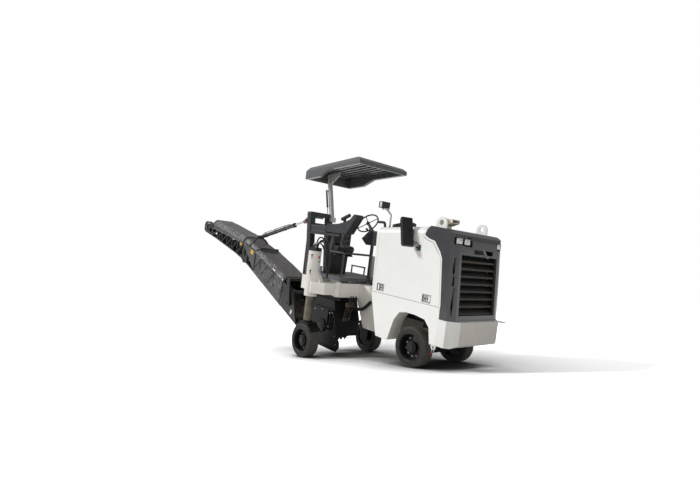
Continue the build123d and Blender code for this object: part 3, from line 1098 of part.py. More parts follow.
# ------------------------------------------------------------------ assembly
def build_all():
    """Every node in the level chassis frame, by name."""
    skin = hood_skin()
    cowl = build_cowl()
    canopy = build_canopy()
    mast = build_mast()
    nodes = {
        **split_body(build_lower_body()),
        "hood_shell": build_hood(skin),
        "right_engine_door": build_door(skin, -1),
        "left_engine_door": build_door(skin, 1),
        "air_scoop": build_air_scoop(),
        "front_cowl": cowl,
        "grille_louvres": build_louvres(),
        "head_lamps": build_lamps(),
        "lifting_eyes": build_lifting_eyes(cowl),
        "exhaust_outlet": build_exhaust() - cowl,
        "engine_block": block(-780, 250, -230, 230, 760, 1560),
        "radiator_core": build_radiator(),
        "front_frame": build_front_frame(),
        "front_axle": build_front_axle(),
        "rear_frame": build_rear_frame(),
        "left_column": build_left_column(),
        "swing_arm": build_swing_arm(),
        "column_head": build_column_head(),
        "right_leg": build_leg(RIGHT_LEG_Y, -1, 8),
        "left_leg": build_leg(LEFT_LEG_Y, 1, 8),
        "drum_housing": build_housing(),
        "milling_drum": build_drum(),
        "side_plate": build_side_plate(),
        "operator_floor": build_platform(),
        "guard_rail": build_rails(),
        "grab_rail": build_left_rail(),
        "seat_base": build_seat_base(),
        "operator_seat": build_seat(),
        "control_console": build_console(mast),
        "steering_pedestal": build_steering_post(),
        "steering_wheel": build_steering_wheel(),
        "mast": mast,
        "canopy_post": build_canopy_post(canopy, mast),
        "canopy": canopy,
        "work_lamp": build_work_lamp(),
        "mirror": build_mirror(),
        "slew_frame": build_slew_frame(),
        "conveyor_lower": build_conveyor_lower(),
        "conveyor_yoke": build_yoke(),
        "cover_lower": build_cover_lower(),
        "belt_lower": build_belt_lower(),
        "conveyor_upper": build_conveyor_upper(),
        "cover_upper": build_cover_upper(),
        "belt_upper": build_belt_upper(),
        "lift_barrel": build_barrel(),
        "lift_rod": build_rod(),
    }
    for side, sign in (("right", -1), ("left", 1)):
        nodes[f"{side}_knuckle"] = build_knuckle(sign)
        nodes[f"front_{side}_tyre"], nodes[f"front_{side}_rim"] = wheel(0, sign * (HALF_W - 8), sign, TYRE_R)
    rear_z = TYRE_R - LEG_DROP
    nodes["rear_right_tyre"], nodes["rear_right_rim"] = wheel(REAR_X, RIGHT_LEG_Y - TYRE_W / 2, -1, rear_z)
    nodes["rear_left_tyre"], nodes["rear_left_rim"] = wheel(REAR_X, LEFT_LEG_Y + TYRE_W / 2, 1, rear_z)
    return nodes


def rake(shape):
    """Tip the level machine nose-down about its front axle, as it stands on its lowered rear legs."""
    return Pos(0, 0, TYRE_R) * Rot(Y=RAKE) * Pos(0, 0, -TYRE_R) * shape


def place(nodes):
    """Stand every node on the ground with the origin at the bottom centre of the machine."""
    raked = {name: rake(shape) for name, shape in nodes.items()}
    boxes = [shape.bounding_box() for shape in raked.values()]
    mid_x = (min(b.min.X for b in boxes) + max(b.max.X for b in boxes)) / 2
    mid_y = (min(b.min.Y for b in boxes) + max(b.max.Y for b in boxes)) / 2
    low_z = min(b.min.Z for b in boxes)
    return {name: Pos(-mid_x, -mid_y, -low_z) * shape for name, shape in raked.items()}


def main():
    """Write one STEP file for each node."""
    os.makedirs("parts", exist_ok=True)
    for name, shape in place(build_all()).items():
        export_step(shape, f"parts/{name}.step")


if __name__ == "__main__":
    main()
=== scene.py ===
"""Compact wheeled road planer: its finishes, covers, seat, hoses and small fittings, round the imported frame.

Lengths in drawings are millimetres on the level chassis: x forward from the front axle, y to the left, z up from
the foot of the front wheels. Pieces are modelled there in metres, then raked with the chassis onto the wheels.
"""

import json
import logging
import math
from dataclasses import dataclass
from enum import Enum
from typing import Callable, Dict, List, Optional, Sequence, Tuple

import bmesh
import bpy
from mathutils import Matrix, Vector, noise

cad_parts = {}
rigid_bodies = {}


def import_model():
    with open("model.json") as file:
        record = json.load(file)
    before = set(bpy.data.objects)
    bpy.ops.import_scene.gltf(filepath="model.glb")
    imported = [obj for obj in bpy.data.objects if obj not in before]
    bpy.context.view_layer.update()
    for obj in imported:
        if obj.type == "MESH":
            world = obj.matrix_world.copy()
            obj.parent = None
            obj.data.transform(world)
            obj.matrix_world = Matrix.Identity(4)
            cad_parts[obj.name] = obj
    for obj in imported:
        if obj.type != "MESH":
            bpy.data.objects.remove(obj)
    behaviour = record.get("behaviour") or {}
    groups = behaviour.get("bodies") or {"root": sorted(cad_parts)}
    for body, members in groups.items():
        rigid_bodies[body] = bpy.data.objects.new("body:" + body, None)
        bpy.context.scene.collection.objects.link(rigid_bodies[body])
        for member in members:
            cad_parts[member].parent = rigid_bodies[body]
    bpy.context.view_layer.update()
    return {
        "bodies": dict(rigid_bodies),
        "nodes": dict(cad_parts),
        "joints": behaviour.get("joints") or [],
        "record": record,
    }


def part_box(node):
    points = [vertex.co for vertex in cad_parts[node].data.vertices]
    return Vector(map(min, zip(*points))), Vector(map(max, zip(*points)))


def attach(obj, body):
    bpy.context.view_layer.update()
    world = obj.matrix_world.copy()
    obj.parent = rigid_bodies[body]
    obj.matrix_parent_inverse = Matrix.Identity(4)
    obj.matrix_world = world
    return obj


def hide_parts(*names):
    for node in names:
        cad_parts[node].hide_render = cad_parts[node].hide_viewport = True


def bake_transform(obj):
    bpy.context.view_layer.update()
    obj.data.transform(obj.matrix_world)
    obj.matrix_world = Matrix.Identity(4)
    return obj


LOG = logging.getLogger("planer")
MM = 0.001
CONVEYOR_Y = -300.0         # middle of the conveyor, mm
LEG_X = -2080.0             # middle of both lifting legs
RIGHT_LEG_Y = -1026.0       # the right leg, swung out beside the cutter
LEFT_LEG_Y = 508.0
Point = Tuple[float, float, float]
Test = Callable[[Vector, Vector], bool]


# ---------------------------------------------------------------- where things stand
@dataclass(frozen=True)
class Chassis:
    """The level chassis and its stance: raked about the front axle, nose down onto the front wheels."""

    axle: Vector
    leg_drop: float = 404.0
    leg_back: float = -LEG_X

    @property
    def rake(self) -> float:
        """Angle of the rake in radians."""
        return math.atan2(self.leg_drop, self.leg_back)

    @property
    def stance(self) -> Matrix:
        """Matrix from the level chassis, in metres, to where it stands."""
        return (Matrix.Translation(self.axle) @ Matrix.Rotation(self.rake, 4, "Y")
                @ Matrix.Translation((0, 0, -self.axle.z)))

    def at(self, x: float, y: float, z: float) -> Vector:
        """Where a drawing point in millimetres stands, in metres."""
        return self.stance @ (Vector((x, y, z)) * MM)

    @classmethod
    def from_frame(cls) -> "Chassis":
        """Read the front axle from the two front tyres."""
        boxes = [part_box("front_right_tyre"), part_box("front_left_tyre")]
        middles = [(Vector(low) + Vector(high)) / 2 for low, high in boxes]
        return cls((middles[0] + middles[1]) / 2)


# ---------------------------------------------------------------- modelling by hand, in code
class Pick(Enum):
    """What is picked in edit mode."""

    VERT = "VERT"
    EDGE = "EDGE"
    FACE = "FACE"


def idle() -> None:
    """Leave edit mode and clear the selection."""
    if bpy.context.mode != "OBJECT":
        bpy.ops.object.mode_set(mode="OBJECT")
    bpy.ops.object.select_all(action="DESELECT")


def hold(obj: bpy.types.Object) -> None:
    """Make one object the only selected and active one."""
    idle()
    obj.select_set(True)
    bpy.context.view_layer.objects.active = obj


def fix(obj: bpy.types.Object) -> bpy.types.Object:
    """Bake an object's place, turn and scale into its mesh."""
    hold(obj)
    bpy.ops.object.transform_apply(location=True, rotation=True, scale=True)
    return obj


def pick(obj: bpy.types.Object, test: Test, kind: Pick = Pick.FACE) -> int:
    """Enter edit mode with what passes a test selected.

    Args:
        obj: the mesh.
        test: takes an element's middle and normal, in metres.
        kind: vertices, edges or faces.

    Returns:
        How many elements are selected.
    """
    hold(obj)
    bpy.ops.object.mode_set(mode="EDIT")
    bpy.ops.mesh.select_mode(type=kind.value)
    bpy.ops.mesh.select_all(action="DESELECT")
    shape = bmesh.from_edit_mesh(obj.data)
    count = 0
    if kind is Pick.FACE:
        items = [(f, f.calc_center_median(), f.normal) for f in shape.faces]
    elif kind is Pick.EDGE:
        items = [(e, (e.verts[0].co + e.verts[1].co) / 2, (e.verts[1].co - e.verts[0].co).normalized())
                 for e in shape.edges]
    else:
        items = [(v, v.co, v.normal) for v in shape.verts]
    for item, middle, normal in items:
        if test(middle, normal):
            item.select_set(True)
            count += 1
    shape.select_flush_mode()
    bmesh.update_edit_mesh(obj.data)
    return count


def block(name: str, low: Point, high: Point, edge: float = 3.0, steps: int = 2) -> bpy.types.Object:
    """Box between two drawing corners, with its edges rounded.

    Args:
        name: the object's name.
        low: lowest corner in millimetres.
        high: highest corner in millimetres.
        edge: rounding in millimetres.
        steps: segments of the rounding.

    Returns:
        The new object, in metres on the level chassis.
    """
    idle()
    bpy.ops.mesh.primitive_cube_add(size=1.0, location=[(a + b) / 2 * MM for a, b in zip(low, high)])
    obj = bpy.context.object
    obj.name = name
    obj.scale = [abs(b - a) * MM for a, b in zip(low, high)]
    fix(obj)
    if edge > 0:
        pick(obj, lambda middle, normal: True, Pick.EDGE)
        bpy.ops.mesh.bevel(offset=edge * MM, segments=steps, affect="EDGES", clamp_overlap=True)
        idle()
    return obj


def round_bar(name: str, start: Point, end: Point, radius: float, sides: int = 20,
              edge: float = 0.0) -> bpy.types.Object:
    """Round bar between two drawing points.

    Args:
        name: the object's name.
        start: one end in millimetres.
        end: the other end.
        radius: in millimetres.
        sides: how many flats stand for the round.
        edge: rounding of its rims in millimetres.

    Returns:
        The new object.
    """
    idle()
    a, b = Vector(start) * MM, Vector(end) * MM
    turn = (b - a).to_track_quat("Z", "Y").to_euler()
    bpy.ops.mesh.primitive_cylinder_add(vertices=sides, radius=radius * MM, depth=(b - a).length,
                                        location=(a + b) / 2, rotation=turn)
    obj = fix(bpy.context.object)
    obj.name = name
    if edge > 0:
        axis = (b - a).normalized()
        pick(obj, lambda middle, along: abs(along.dot(axis)) < 0.5, Pick.EDGE)
        bpy.ops.mesh.bevel(offset=edge * MM, segments=2, affect="EDGES")
        idle()
    return obj


def ring_of(name: str, centre: Point, axis: Point, major: float, minor: float, sides: int = 40,
            section: int = 10) -> bpy.types.Object:
    """Torus about an axis, in drawing millimetres."""
    idle()
    turn = Vector(axis).to_track_quat("Z", "Y").to_euler()
    bpy.ops.mesh.primitive_torus_add(major_radius=major * MM, minor_radius=minor * MM, major_segments=sides,
                                     minor_segments=section, location=Vector(centre) * MM, rotation=turn)
    obj = fix(bpy.context.object)
    obj.name = name
    return obj


def modify(obj: bpy.types.Object, kind: str, **settings: object) -> bpy.types.Object:
    """Add a modifier with its settings and apply it."""
    hold(obj)
    bpy.ops.object.modifier_add(type=kind)
    step = obj.modifiers[-1]
    for key, value in settings.items():
        setattr(step, key, value)
    bpy.ops.object.modifier_apply(modifier=step.name)
    return obj


def joined(name: str, parts: Sequence[bpy.types.Object]) -> bpy.types.Object:
    """One object out of several."""
    hold(parts[0])
    for part in parts:
        part.select_set(True)
    if len(parts) > 1:
        bpy.ops.object.join()
    bpy.context.object.name = name
    return bpy.context.object


def copies(name: str, first: bpy.types.Object, places: Sequence[Matrix]) -> bpy.types.Object:
    """Copies of one modelled piece, each with its own mesh, joined; the first is used up."""
    made = []
    for place in places:
        twin = first.copy()
        twin.data = first.data.copy()
        twin.data.transform(place)
        bpy.context.collection.objects.link(twin)
        made.append(twin)
    bpy.data.objects.remove(first, do_unlink=True)
    return joined(name, made)


def aim(x: float, y: float, z: float, out: Point) -> Matrix:
    """Place of a small part at a drawing point, with its local z along out."""
    return Matrix.Translation(Vector((x, y, z)) * MM) @ Vector(out).to_track_quat("Z", "Y").to_matrix().to_4x4()


def pipe(name: str, points: Sequence[Point], diameter: float, order: int = 3, sides: int = 3) -> bpy.types.Object:
    """Smooth hose or bent tube whose line is steered by a few drawing points."""
    data = bpy.data.curves.new(name, "CURVE")
    data.dimensions = "3D"
    data.resolution_u = 6
    data.bevel_depth = diameter / 2 * MM
    data.bevel_resolution = sides
    data.use_fill_caps = True
    line = data.splines.new("NURBS")
    line.points.add(len(points) - 1)
    for spot, point in zip(line.points, points):
        spot.co = (*(Vector(point) * MM), 1.0)
    line.order_u = min(order, len(points))
    line.use_endpoint_u = True
    obj = bpy.data.objects.new(name, data)
    bpy.context.collection.objects.link(obj)
    hold(obj)
    bpy.ops.object.convert(target="MESH")
    return bpy.context.object


def ribbed_pipe(name: str, points: Sequence[Point], diameter: float, pitch: float) -> bpy.types.Object:
    """Corrugated hose: one ring, repeated and bent along a smooth line.

    Args:
        name: the object's name.
        points: the line's steering points in millimetres.
        diameter: over the ribs.
        pitch: from rib to rib.

    Returns:
        The new object.
    """
    data = bpy.data.curves.new(name + "_line", "CURVE")
    data.dimensions = "3D"
    data.resolution_u = 12
    line = data.splines.new("NURBS")
    line.points.add(len(points) - 1)
    for spot, point in zip(line.points, points):
        spot.co = (*(Vector(point) * MM), 1.0)
    line.order_u = 3
    line.use_endpoint_u = True
    guide = bpy.data.objects.new(name + "_line", data)
    bpy.context.collection.objects.link(guide)
    length = line.calc_length()
    idle()
    bpy.ops.mesh.primitive_cylinder_add(vertices=12, radius=diameter / 2 * 0.8 * MM, depth=pitch * MM,
                                        end_fill_type="NOTHING", location=(0, 0, pitch / 2 * MM))
    ring = fix(bpy.context.object)
    ring.name = name
    pick(ring, lambda middle, along: abs(along.z) > 0.9, Pick.EDGE)
    bpy.ops.mesh.subdivide(number_cuts=3)
    idle()
    low, high = pitch * 0.26 * MM, pitch * 0.74 * MM
    pick(ring, lambda middle, normal: low < middle.z < high, Pick.VERT)
    bpy.ops.transform.resize(value=(1.25, 1.25, 1.0), center_override=(0, 0, pitch / 2 * MM))
    idle()
    turns = max(2, round(length / (pitch * MM)))
    modify(ring, "ARRAY", count=turns, use_relative_offset=True, relative_offset_displace=(0, 0, 1.0),
           use_merge_vertices=True, merge_threshold=0.0004)
    modify(ring, "CURVE", object=guide, deform_axis="POS_Z")
    bpy.data.objects.remove(guide, do_unlink=True)
    return ring


def outward(obj: bpy.types.Object, merge: float = 0.00005) -> bpy.types.Object:
    """Merge doubles and turn all faces outwards."""
    pick(obj, lambda middle, normal: True, Pick.VERT)
    bpy.ops.mesh.remove_doubles(threshold=merge)
    bpy.ops.mesh.normals_make_consistent(inside=False)
    idle()
    return obj


def stepped(obj: bpy.types.Object, test: Test, steps: Sequence[Tuple[float, Point]]) -> bpy.types.Object:
    """Inset the faces that pass a test and shift them, step after step.

    Args:
        obj: the mesh.
        test: takes a face's middle and normal, in metres.
        steps: for each step, the inset and the shift, in metres.

    Returns:
        The same object, out of edit mode.
    """
    pick(obj, test)
    for inset, shift in steps:
        bpy.ops.mesh.inset(thickness=inset)
        bpy.ops.transform.translate(value=shift)
    idle()
    return obj


def rounded_plate(name: str, low: Point, high: Point, corner: float) -> bpy.types.Object:
    """Plate between two drawing corners that faces along x, its four corners rounded, in millimetres."""
    plate = block(name, low, high, 0)
    pick(plate, lambda middle, along: abs(along.x) > 0.9, Pick.EDGE)
    bpy.ops.mesh.bevel(offset=corner * MM, segments=5, affect="EDGES")
    idle()
    return plate


def dress(obj: bpy.types.Object, finish: bpy.types.Material, stance: Matrix, smooth: float = 35.0) -> None:
    """Put a modelled piece in its place and give it its finish.

    Args:
        obj: the piece, in metres on the level chassis.
        finish: its material.
        stance: matrix to its place.
        smooth: angle in degrees under which edges shade smooth.
    """
    obj.data.transform(stance)
    outward(obj)
    hold(obj)
    bpy.ops.object.shade_smooth_by_angle(angle=math.radians(smooth))
    obj.data.materials.clear()
    obj.data.materials.append(finish)


# ---------------------------------------------------------------- finishes
def linear(code: str) -> Tuple[float, float, float, float]:
    """Linear colour of an sRGB hex code."""
    def bend(value: float) -> float:
        """Linear value of one sRGB channel."""
        return value / 12.92 if value <= 0.04045 else ((value + 0.055) / 1.055) ** 2.4
    return (*[bend(int(code[i:i + 2], 16) / 255) for i in (1, 3, 5)], 1.0)


def add_node(tree: bpy.types.NodeTree, kind: str, values: Optional[Dict] = None, links: Optional[Dict] = None,
             **settings: object) -> bpy.types.Node:
    """Add one node.

    Args:
        tree: the material's node tree.
        kind: the node's type.
        values: input name or number to value.
        links: input name or number to the output socket that feeds it.
        settings: the node's own settings.

    Returns:
        The node.
    """
    made = tree.nodes.new(kind)
    for key, value in settings.items():
        setattr(made, key, value)
    for key, value in (values or {}).items():
        made.inputs[key].default_value = value
    for key, socket in (links or {}).items():
        tree.links.new(socket, made.inputs[key])
    return made


@dataclass(frozen=True)
class Finish:
    """A surface finish: base colour, gloss, mottling, fine bump, the dust or wear that lies on it, and painted shade
    where asked.
    """

    name: str
    colour: str
    second: str = ""            # colour of the slow mottling; none repeats the base
    roughness: float = 0.5
    metallic: float = 0.0
    coat: float = 0.0
    ior: float = 1.5
    grain: float = 1.2          # size of the surface grain, mm
    relief: float = 0.02        # height of the grain, mm
    mottle: float = 260.0       # size of the slow mottling, mm
    dust: str = ""              # colour of the dust; none leaves it clean
    dust_foot: float = 0.1      # height in m under which dust is thickest
    dust_top: float = 1.2       # height in m over which there is none
    dust_most: float = 0.6      # share of the surface covered at the foot
    dust_up: float = 0.3        # share on what faces straight up
    dust_ahead: float = 0.0     # share of road dust and painted shade on what faces forward
    patchy: float = 1.0         # how unevenly the dust lies
    gloss: float = 0.5          # specular level
    under: str = ""             # colour of painted shade on what faces down; none repeats the base
    wear: str = ""              # colour of fine scratches and chips
    wear_share: float = 0.12

    def tree(self) -> Tuple[bpy.types.Material, bpy.types.NodeTree]:
        """A new, empty material of this name and its node tree."""
        material = bpy.data.materials.new(self.name)
        material.use_nodes = True
        material.node_tree.nodes.clear()
        return material, material.node_tree

    def coordinates(self, tree: bpy.types.NodeTree) -> bpy.types.NodeSocket:
        """Object coordinates, which are metres in the machine's own frame."""
        return add_node(tree, "ShaderNodeTexCoord").outputs["Object"]

    def mottled(self, tree: bpy.types.NodeTree, where: bpy.types.NodeSocket) -> bpy.types.NodeSocket:
        """Base colour that drifts slowly to the second one."""
        cloud = add_node(tree, "ShaderNodeTexNoise", {"Scale": 1000 / self.mottle, "Detail": 4.0}, {"Vector": where})
        share = add_node(tree, "ShaderNodeMapRange", {"From Min": 0.38, "From Max": 0.66}, {"Value": cloud.outputs[0]})
        mix = add_node(tree, "ShaderNodeMix", {6: linear(self.colour), 7: linear(self.second or self.colour)},
                       {0: share.outputs[0]}, data_type="RGBA")
        return mix.outputs[2]

    def dusted(self, tree: bpy.types.NodeTree, where: bpy.types.NodeSocket,
               colour: bpy.types.NodeSocket) -> Tuple[bpy.types.NodeSocket, bpy.types.NodeSocket]:
        """Lay dust over a colour, thick near the ground and on what faces up.

        Args:
            tree: the node tree.
            where: object coordinates.
            colour: what lies under the dust.

        Returns:
            The dusted colour and the share of dust.
        """
        split = add_node(tree, "ShaderNodeSeparateXYZ", links={0: where})
        height = add_node(tree, "ShaderNodeMapRange", {"From Min": self.dust_foot, "From Max": self.dust_top,
                                                       "To Min": self.dust_most, "To Max": 0.0},
                          {"Value": split.outputs[2]})
        face = add_node(tree, "ShaderNodeNewGeometry")
        normal = add_node(tree, "ShaderNodeSeparateXYZ", links={0: face.outputs["Normal"]})
        upward = add_node(tree, "ShaderNodeMapRange", {"From Min": 0.3, "From Max": 1.0, "To Max": self.dust_up},
                          {"Value": normal.outputs[2]})
        # What faces forward gets road dust and painted shade together.
        ahead = add_node(tree, "ShaderNodeMapRange", {"From Min": 0.75, "From Max": 0.97, "To Max": self.dust_ahead},
                         {"Value": normal.outputs[0]})
        lying = add_node(tree, "ShaderNodeMath", links={0: height.outputs[0], 1: upward.outputs[0]},
                         operation="ADD")
        total = add_node(tree, "ShaderNodeMath", links={0: lying.outputs[0], 1: ahead.outputs[0]},
                         operation="ADD")
        clump = add_node(tree, "ShaderNodeTexNoise", {"Scale": 9.0, "Detail": 8.0, "Roughness": 0.65},
                         {"Vector": where})
        ragged = add_node(tree, "ShaderNodeMapRange", {"From Min": 0.35, "From Max": 0.68,
                                                       "To Min": 1 - 0.75 * self.patchy,
                                                       "To Max": 1 + 0.35 * self.patchy}, {"Value": clump.outputs[0]})
        share = add_node(tree, "ShaderNodeMath", links={0: total.outputs[0], 1: ragged.outputs[0]},
                         operation="MULTIPLY", use_clamp=True)
        mix = add_node(tree, "ShaderNodeMix", {7: linear(self.dust)}, {0: share.outputs[0], 6: colour},
                       data_type="RGBA")
        return mix.outputs[2], share.outputs[0]

    def worn(self, tree: bpy.types.NodeTree, where: bpy.types.NodeSocket,
             colour: bpy.types.NodeSocket) -> bpy.types.NodeSocket:
        """Scatter small scratches and chips over a colour."""
        chips = add_node(tree, "ShaderNodeTexNoise", {"Scale": 42.0, "Detail": 6.0, "Roughness": 0.7},
                         {"Vector": where})
        share = add_node(tree, "ShaderNodeMapRange", {"From Min": 0.68 - self.wear_share, "From Max": 0.72,
                                                      "To Max": 0.8}, {"Value": chips.outputs[0]})
        mix = add_node(tree, "ShaderNodeMix", {7: linear(self.wear)}, {0: share.outputs[0], 6: colour},
                       data_type="RGBA")
        return mix.outputs[2]

    def surface(self, tree: bpy.types.NodeTree, where: bpy.types.NodeSocket) -> Tuple[
            bpy.types.NodeSocket, Optional[bpy.types.NodeSocket]]:
        """Colour of the surface, with painted shade on what faces down where asked, and, where there is dust, its
        share.
        """
        colour = self.mottled(tree, where)
        if self.wear:
            colour = self.worn(tree, where, colour)
        if self.dust:
            colour, share = self.dusted(tree, where, colour)
        else:
            share = None
        # Painted shade: what faces down is darkened towards the under colour.
        if self.under:
            face = add_node(tree, "ShaderNodeNewGeometry")
            normal = add_node(tree, "ShaderNodeSeparateXYZ", links={0: face.outputs["Normal"]})
            painted_shade_below = add_node(tree, "ShaderNodeMapRange", {"From Min": -0.15, "From Max": -0.5},
                             {"Value": normal.outputs[2]})
            mix = add_node(tree, "ShaderNodeMix", {7: linear(self.under)}, {0: painted_shade_below.outputs[0], 6: colour},
                           data_type="RGBA")
            colour = mix.outputs[2]
        return colour, share

    def height(self, tree: bpy.types.NodeTree, where: bpy.types.NodeSocket) -> bpy.types.NodeSocket:
        """Fine relief of the surface, from 0 to 1."""
        fine = add_node(tree, "ShaderNodeTexNoise", {"Scale": 1000 / self.grain, "Detail": 3.0}, {"Vector": where})
        return fine.outputs[0]

    def build(self) -> bpy.types.Material:
        """Make the material."""
        material, tree = self.tree()
        where = self.coordinates(tree)
        colour, share = self.surface(tree, where)
        relief = add_node(tree, "ShaderNodeBump", {"Strength": 1.0, "Distance": self.relief * MM},
                          {"Height": self.height(tree, where)})
        values = {"Metallic": self.metallic, "Roughness": self.roughness, "Coat Weight": self.coat,
                  "Coat Roughness": 0.12, "IOR": self.ior, "Specular IOR Level": self.gloss}
        links = {"Base Color": colour, "Normal": relief.outputs[0]}
        if share is not None:
            dull = add_node(tree, "ShaderNodeMapRange", {"To Min": self.roughness, "To Max": 0.92},
                            {"Value": share})
            links["Roughness"] = dull.outputs[0]
        shader = add_node(tree, "ShaderNodeBsdfPrincipled", values, links)
        add_node(tree, "ShaderNodeOutputMaterial", links={0: shader.outputs[0]})
        return material


@dataclass(frozen=True)
class TyreRubber(Finish):
    """Pressed solid rubber, ground pale at its shoulders and tread by the road."""

    centre: Point = (0, 0, 0)
    radius: float = 0.3

    def surface(self, tree: bpy.types.NodeTree, where: bpy.types.NodeSocket) -> Tuple[
            bpy.types.NodeSocket, Optional[bpy.types.NodeSocket]]:
        """Dark rubber with road dust from the shoulder outwards, and painted shade in a sidewall groove."""
        at_hub = add_node(tree, "ShaderNodeMapping", {"Location": [-value for value in self.centre]},
                          {"Vector": where})
        flat = add_node(tree, "ShaderNodeVectorMath", {1: (1.0, 0.0, 1.0)}, {0: at_hub.outputs[0]},
                        operation="MULTIPLY")
        reach = add_node(tree, "ShaderNodeVectorMath", links={0: flat.outputs[0]}, operation="LENGTH")
        rim = add_node(tree, "ShaderNodeMapRange", {"From Min": self.radius * 0.88, "From Max": self.radius,
                                                    "To Max": 0.5}, {"Value": reach.outputs["Value"]})
        # Painted shade: a thin near-black ring at 0.82 of the radius stands for the shade in a sidewall groove.
        groove = add_node(tree, "ShaderNodeMath", {1: self.radius * 0.82}, {0: reach.outputs["Value"]},
                          operation="SUBTRACT")
        band = add_node(tree, "ShaderNodeMath", links={0: groove.outputs[0]}, operation="ABSOLUTE")
        groove_painted_shade = add_node(tree, "ShaderNodeMapRange", {"From Min": 0.0, "From Max": 0.004, "To Min": 1.0,
                                                     "To Max": 0.0}, {"Value": band.outputs[0]})
        clump = add_node(tree, "ShaderNodeTexNoise", {"Scale": 22.0, "Detail": 7.0}, {"Vector": where})
        ragged = add_node(tree, "ShaderNodeMapRange", {"From Min": 0.3, "From Max": 0.7, "To Min": 0.35,
                                                       "To Max": 1.2}, {"Value": clump.outputs[0]})
        share = add_node(tree, "ShaderNodeMath", links={0: rim.outputs[0], 1: ragged.outputs[0]},
                         operation="MULTIPLY", use_clamp=True)
        base = add_node(tree, "ShaderNodeMix", {7: linear("#0c0b0a")},
                        {0: groove_painted_shade.outputs[0], 6: self.mottled(tree, where)}, data_type="RGBA")
        mix = add_node(tree, "ShaderNodeMix", {7: linear(self.dust)}, {0: share.outputs[0], 6: base.outputs[2]},
                       data_type="RGBA")
        return mix.outputs[2], share.outputs[0]


@dataclass(frozen=True)
class TreadPlate(Finish):
    """Rolled steel checker plate: lozenges in two directions, painted."""

    pitch: float = 42.0
    lozenge: Point = (1.0, 0.34, 1.0)

    def height(self, tree: bpy.types.NodeTree, where: bpy.types.NodeSocket) -> bpy.types.NodeSocket:
        """Raised lozenges from two crossed sets of ridges."""
        heights = []
        for angle in (45.0, -45.0):
            turned = add_node(tree, "ShaderNodeMapping", {"Rotation": (0, 0, math.radians(angle)),
                                                          "Scale": [1000 / self.pitch * s for s in self.lozenge]},
                              {"Vector": where})
            cells = add_node(tree, "ShaderNodeTexVoronoi", {"Scale": 1.0, "Randomness": 0.0},
                             {"Vector": turned.outputs[0]}, feature="F1", voronoi_dimensions="2D")
            lump = add_node(tree, "ShaderNodeMapRange", {"From Min": 0.16, "From Max": 0.26, "To Min": 1.0,
                                                         "To Max": 0.0}, {"Value": cells.outputs["Distance"]})
            heights.append(lump.outputs[0])
        both = add_node(tree, "ShaderNodeMath", links={0: heights[0], 1: heights[1]}, operation="MAXIMUM")
        return both.outputs[0]


@dataclass(frozen=True)
class Woven(Finish):
    """Coated cloth: a plain weave under a satin film, creased, dusted, and with a pale painted sheen along its
    shoulders.
    """

    thread: float = 2.4         # drawn coarser than the real 1 mm so that it shows
    # colour of the painted sheen along the shoulders
    rubbed: str = "#a3a1a3"

    def surface(self, tree: bpy.types.NodeTree, where: bpy.types.NodeSocket) -> Tuple[
            bpy.types.NodeSocket, Optional[bpy.types.NodeSocket]]:
        """Dusty film, with a pale painted sheen streaked where the cloth turns over the frame."""
        colour, share = super().surface(tree, where)
        # Painted sheen: faces that turn sideways over the shoulders get a pale colour, broken into streaks.
        face = add_node(tree, "ShaderNodeNewGeometry")
        normal = add_node(tree, "ShaderNodeSeparateXYZ", links={0: face.outputs["Normal"]})
        sideways = add_node(tree, "ShaderNodeMath", links={0: normal.outputs[1]}, operation="ABSOLUTE")
        rise = add_node(tree, "ShaderNodeMapRange", {"From Min": 0.25, "From Max": 0.55},
                        {"Value": sideways.outputs[0]})
        fall = add_node(tree, "ShaderNodeMapRange", {"From Min": 0.96, "From Max": 0.75},
                        {"Value": sideways.outputs[0]})
        turn = add_node(tree, "ShaderNodeMath", links={0: rise.outputs[0], 1: fall.outputs[0]}, operation="MULTIPLY")
        streak = add_node(tree, "ShaderNodeTexNoise", {"Scale": 11.0, "Detail": 3.0, "Distortion": 0.8},
                          {"Vector": where})
        broken = add_node(tree, "ShaderNodeMapRange", {"From Min": 0.42, "From Max": 0.66, "To Max": 0.75},
                          {"Value": streak.outputs[0]})
        painted_sheen_share = add_node(tree, "ShaderNodeMath", links={0: turn.outputs[0], 1: broken.outputs[0]},
                          operation="MULTIPLY")
        mix = add_node(tree, "ShaderNodeMix", {7: linear(self.rubbed)}, {0: painted_sheen_share.outputs[0], 6: colour},
                       data_type="RGBA")
        return mix.outputs[2], share

    def height(self, tree: bpy.types.NodeTree, where: bpy.types.NodeSocket) -> bpy.types.NodeSocket:
        """Weave of two crossed sets of threads with slow creases."""
        waves = []
        for axis in ("X", "Y"):
            wave = add_node(tree, "ShaderNodeTexWave", {"Scale": 1000 / self.thread / 6.28, "Distortion": 0.3},
                            {"Vector": where}, wave_type="BANDS", bands_direction=axis)
            waves.append(wave.outputs["Fac"])
        weave = add_node(tree, "ShaderNodeMath", links={0: waves[0], 1: waves[1]}, operation="MULTIPLY")
        crease = add_node(tree, "ShaderNodeTexNoise", {"Scale": 14.0, "Detail": 5.0, "Distortion": 1.2},
                          {"Vector": where})
        mix = add_node(tree, "ShaderNodeMath", {2: 0.05}, {0: weave.outputs[0], 1: crease.outputs[0]},
                       operation="MULTIPLY")
        deep = add_node(tree, "ShaderNodeMath", links={0: mix.outputs[0], 1: crease.outputs[0]}, operation="ADD")
        return deep.outputs[0]


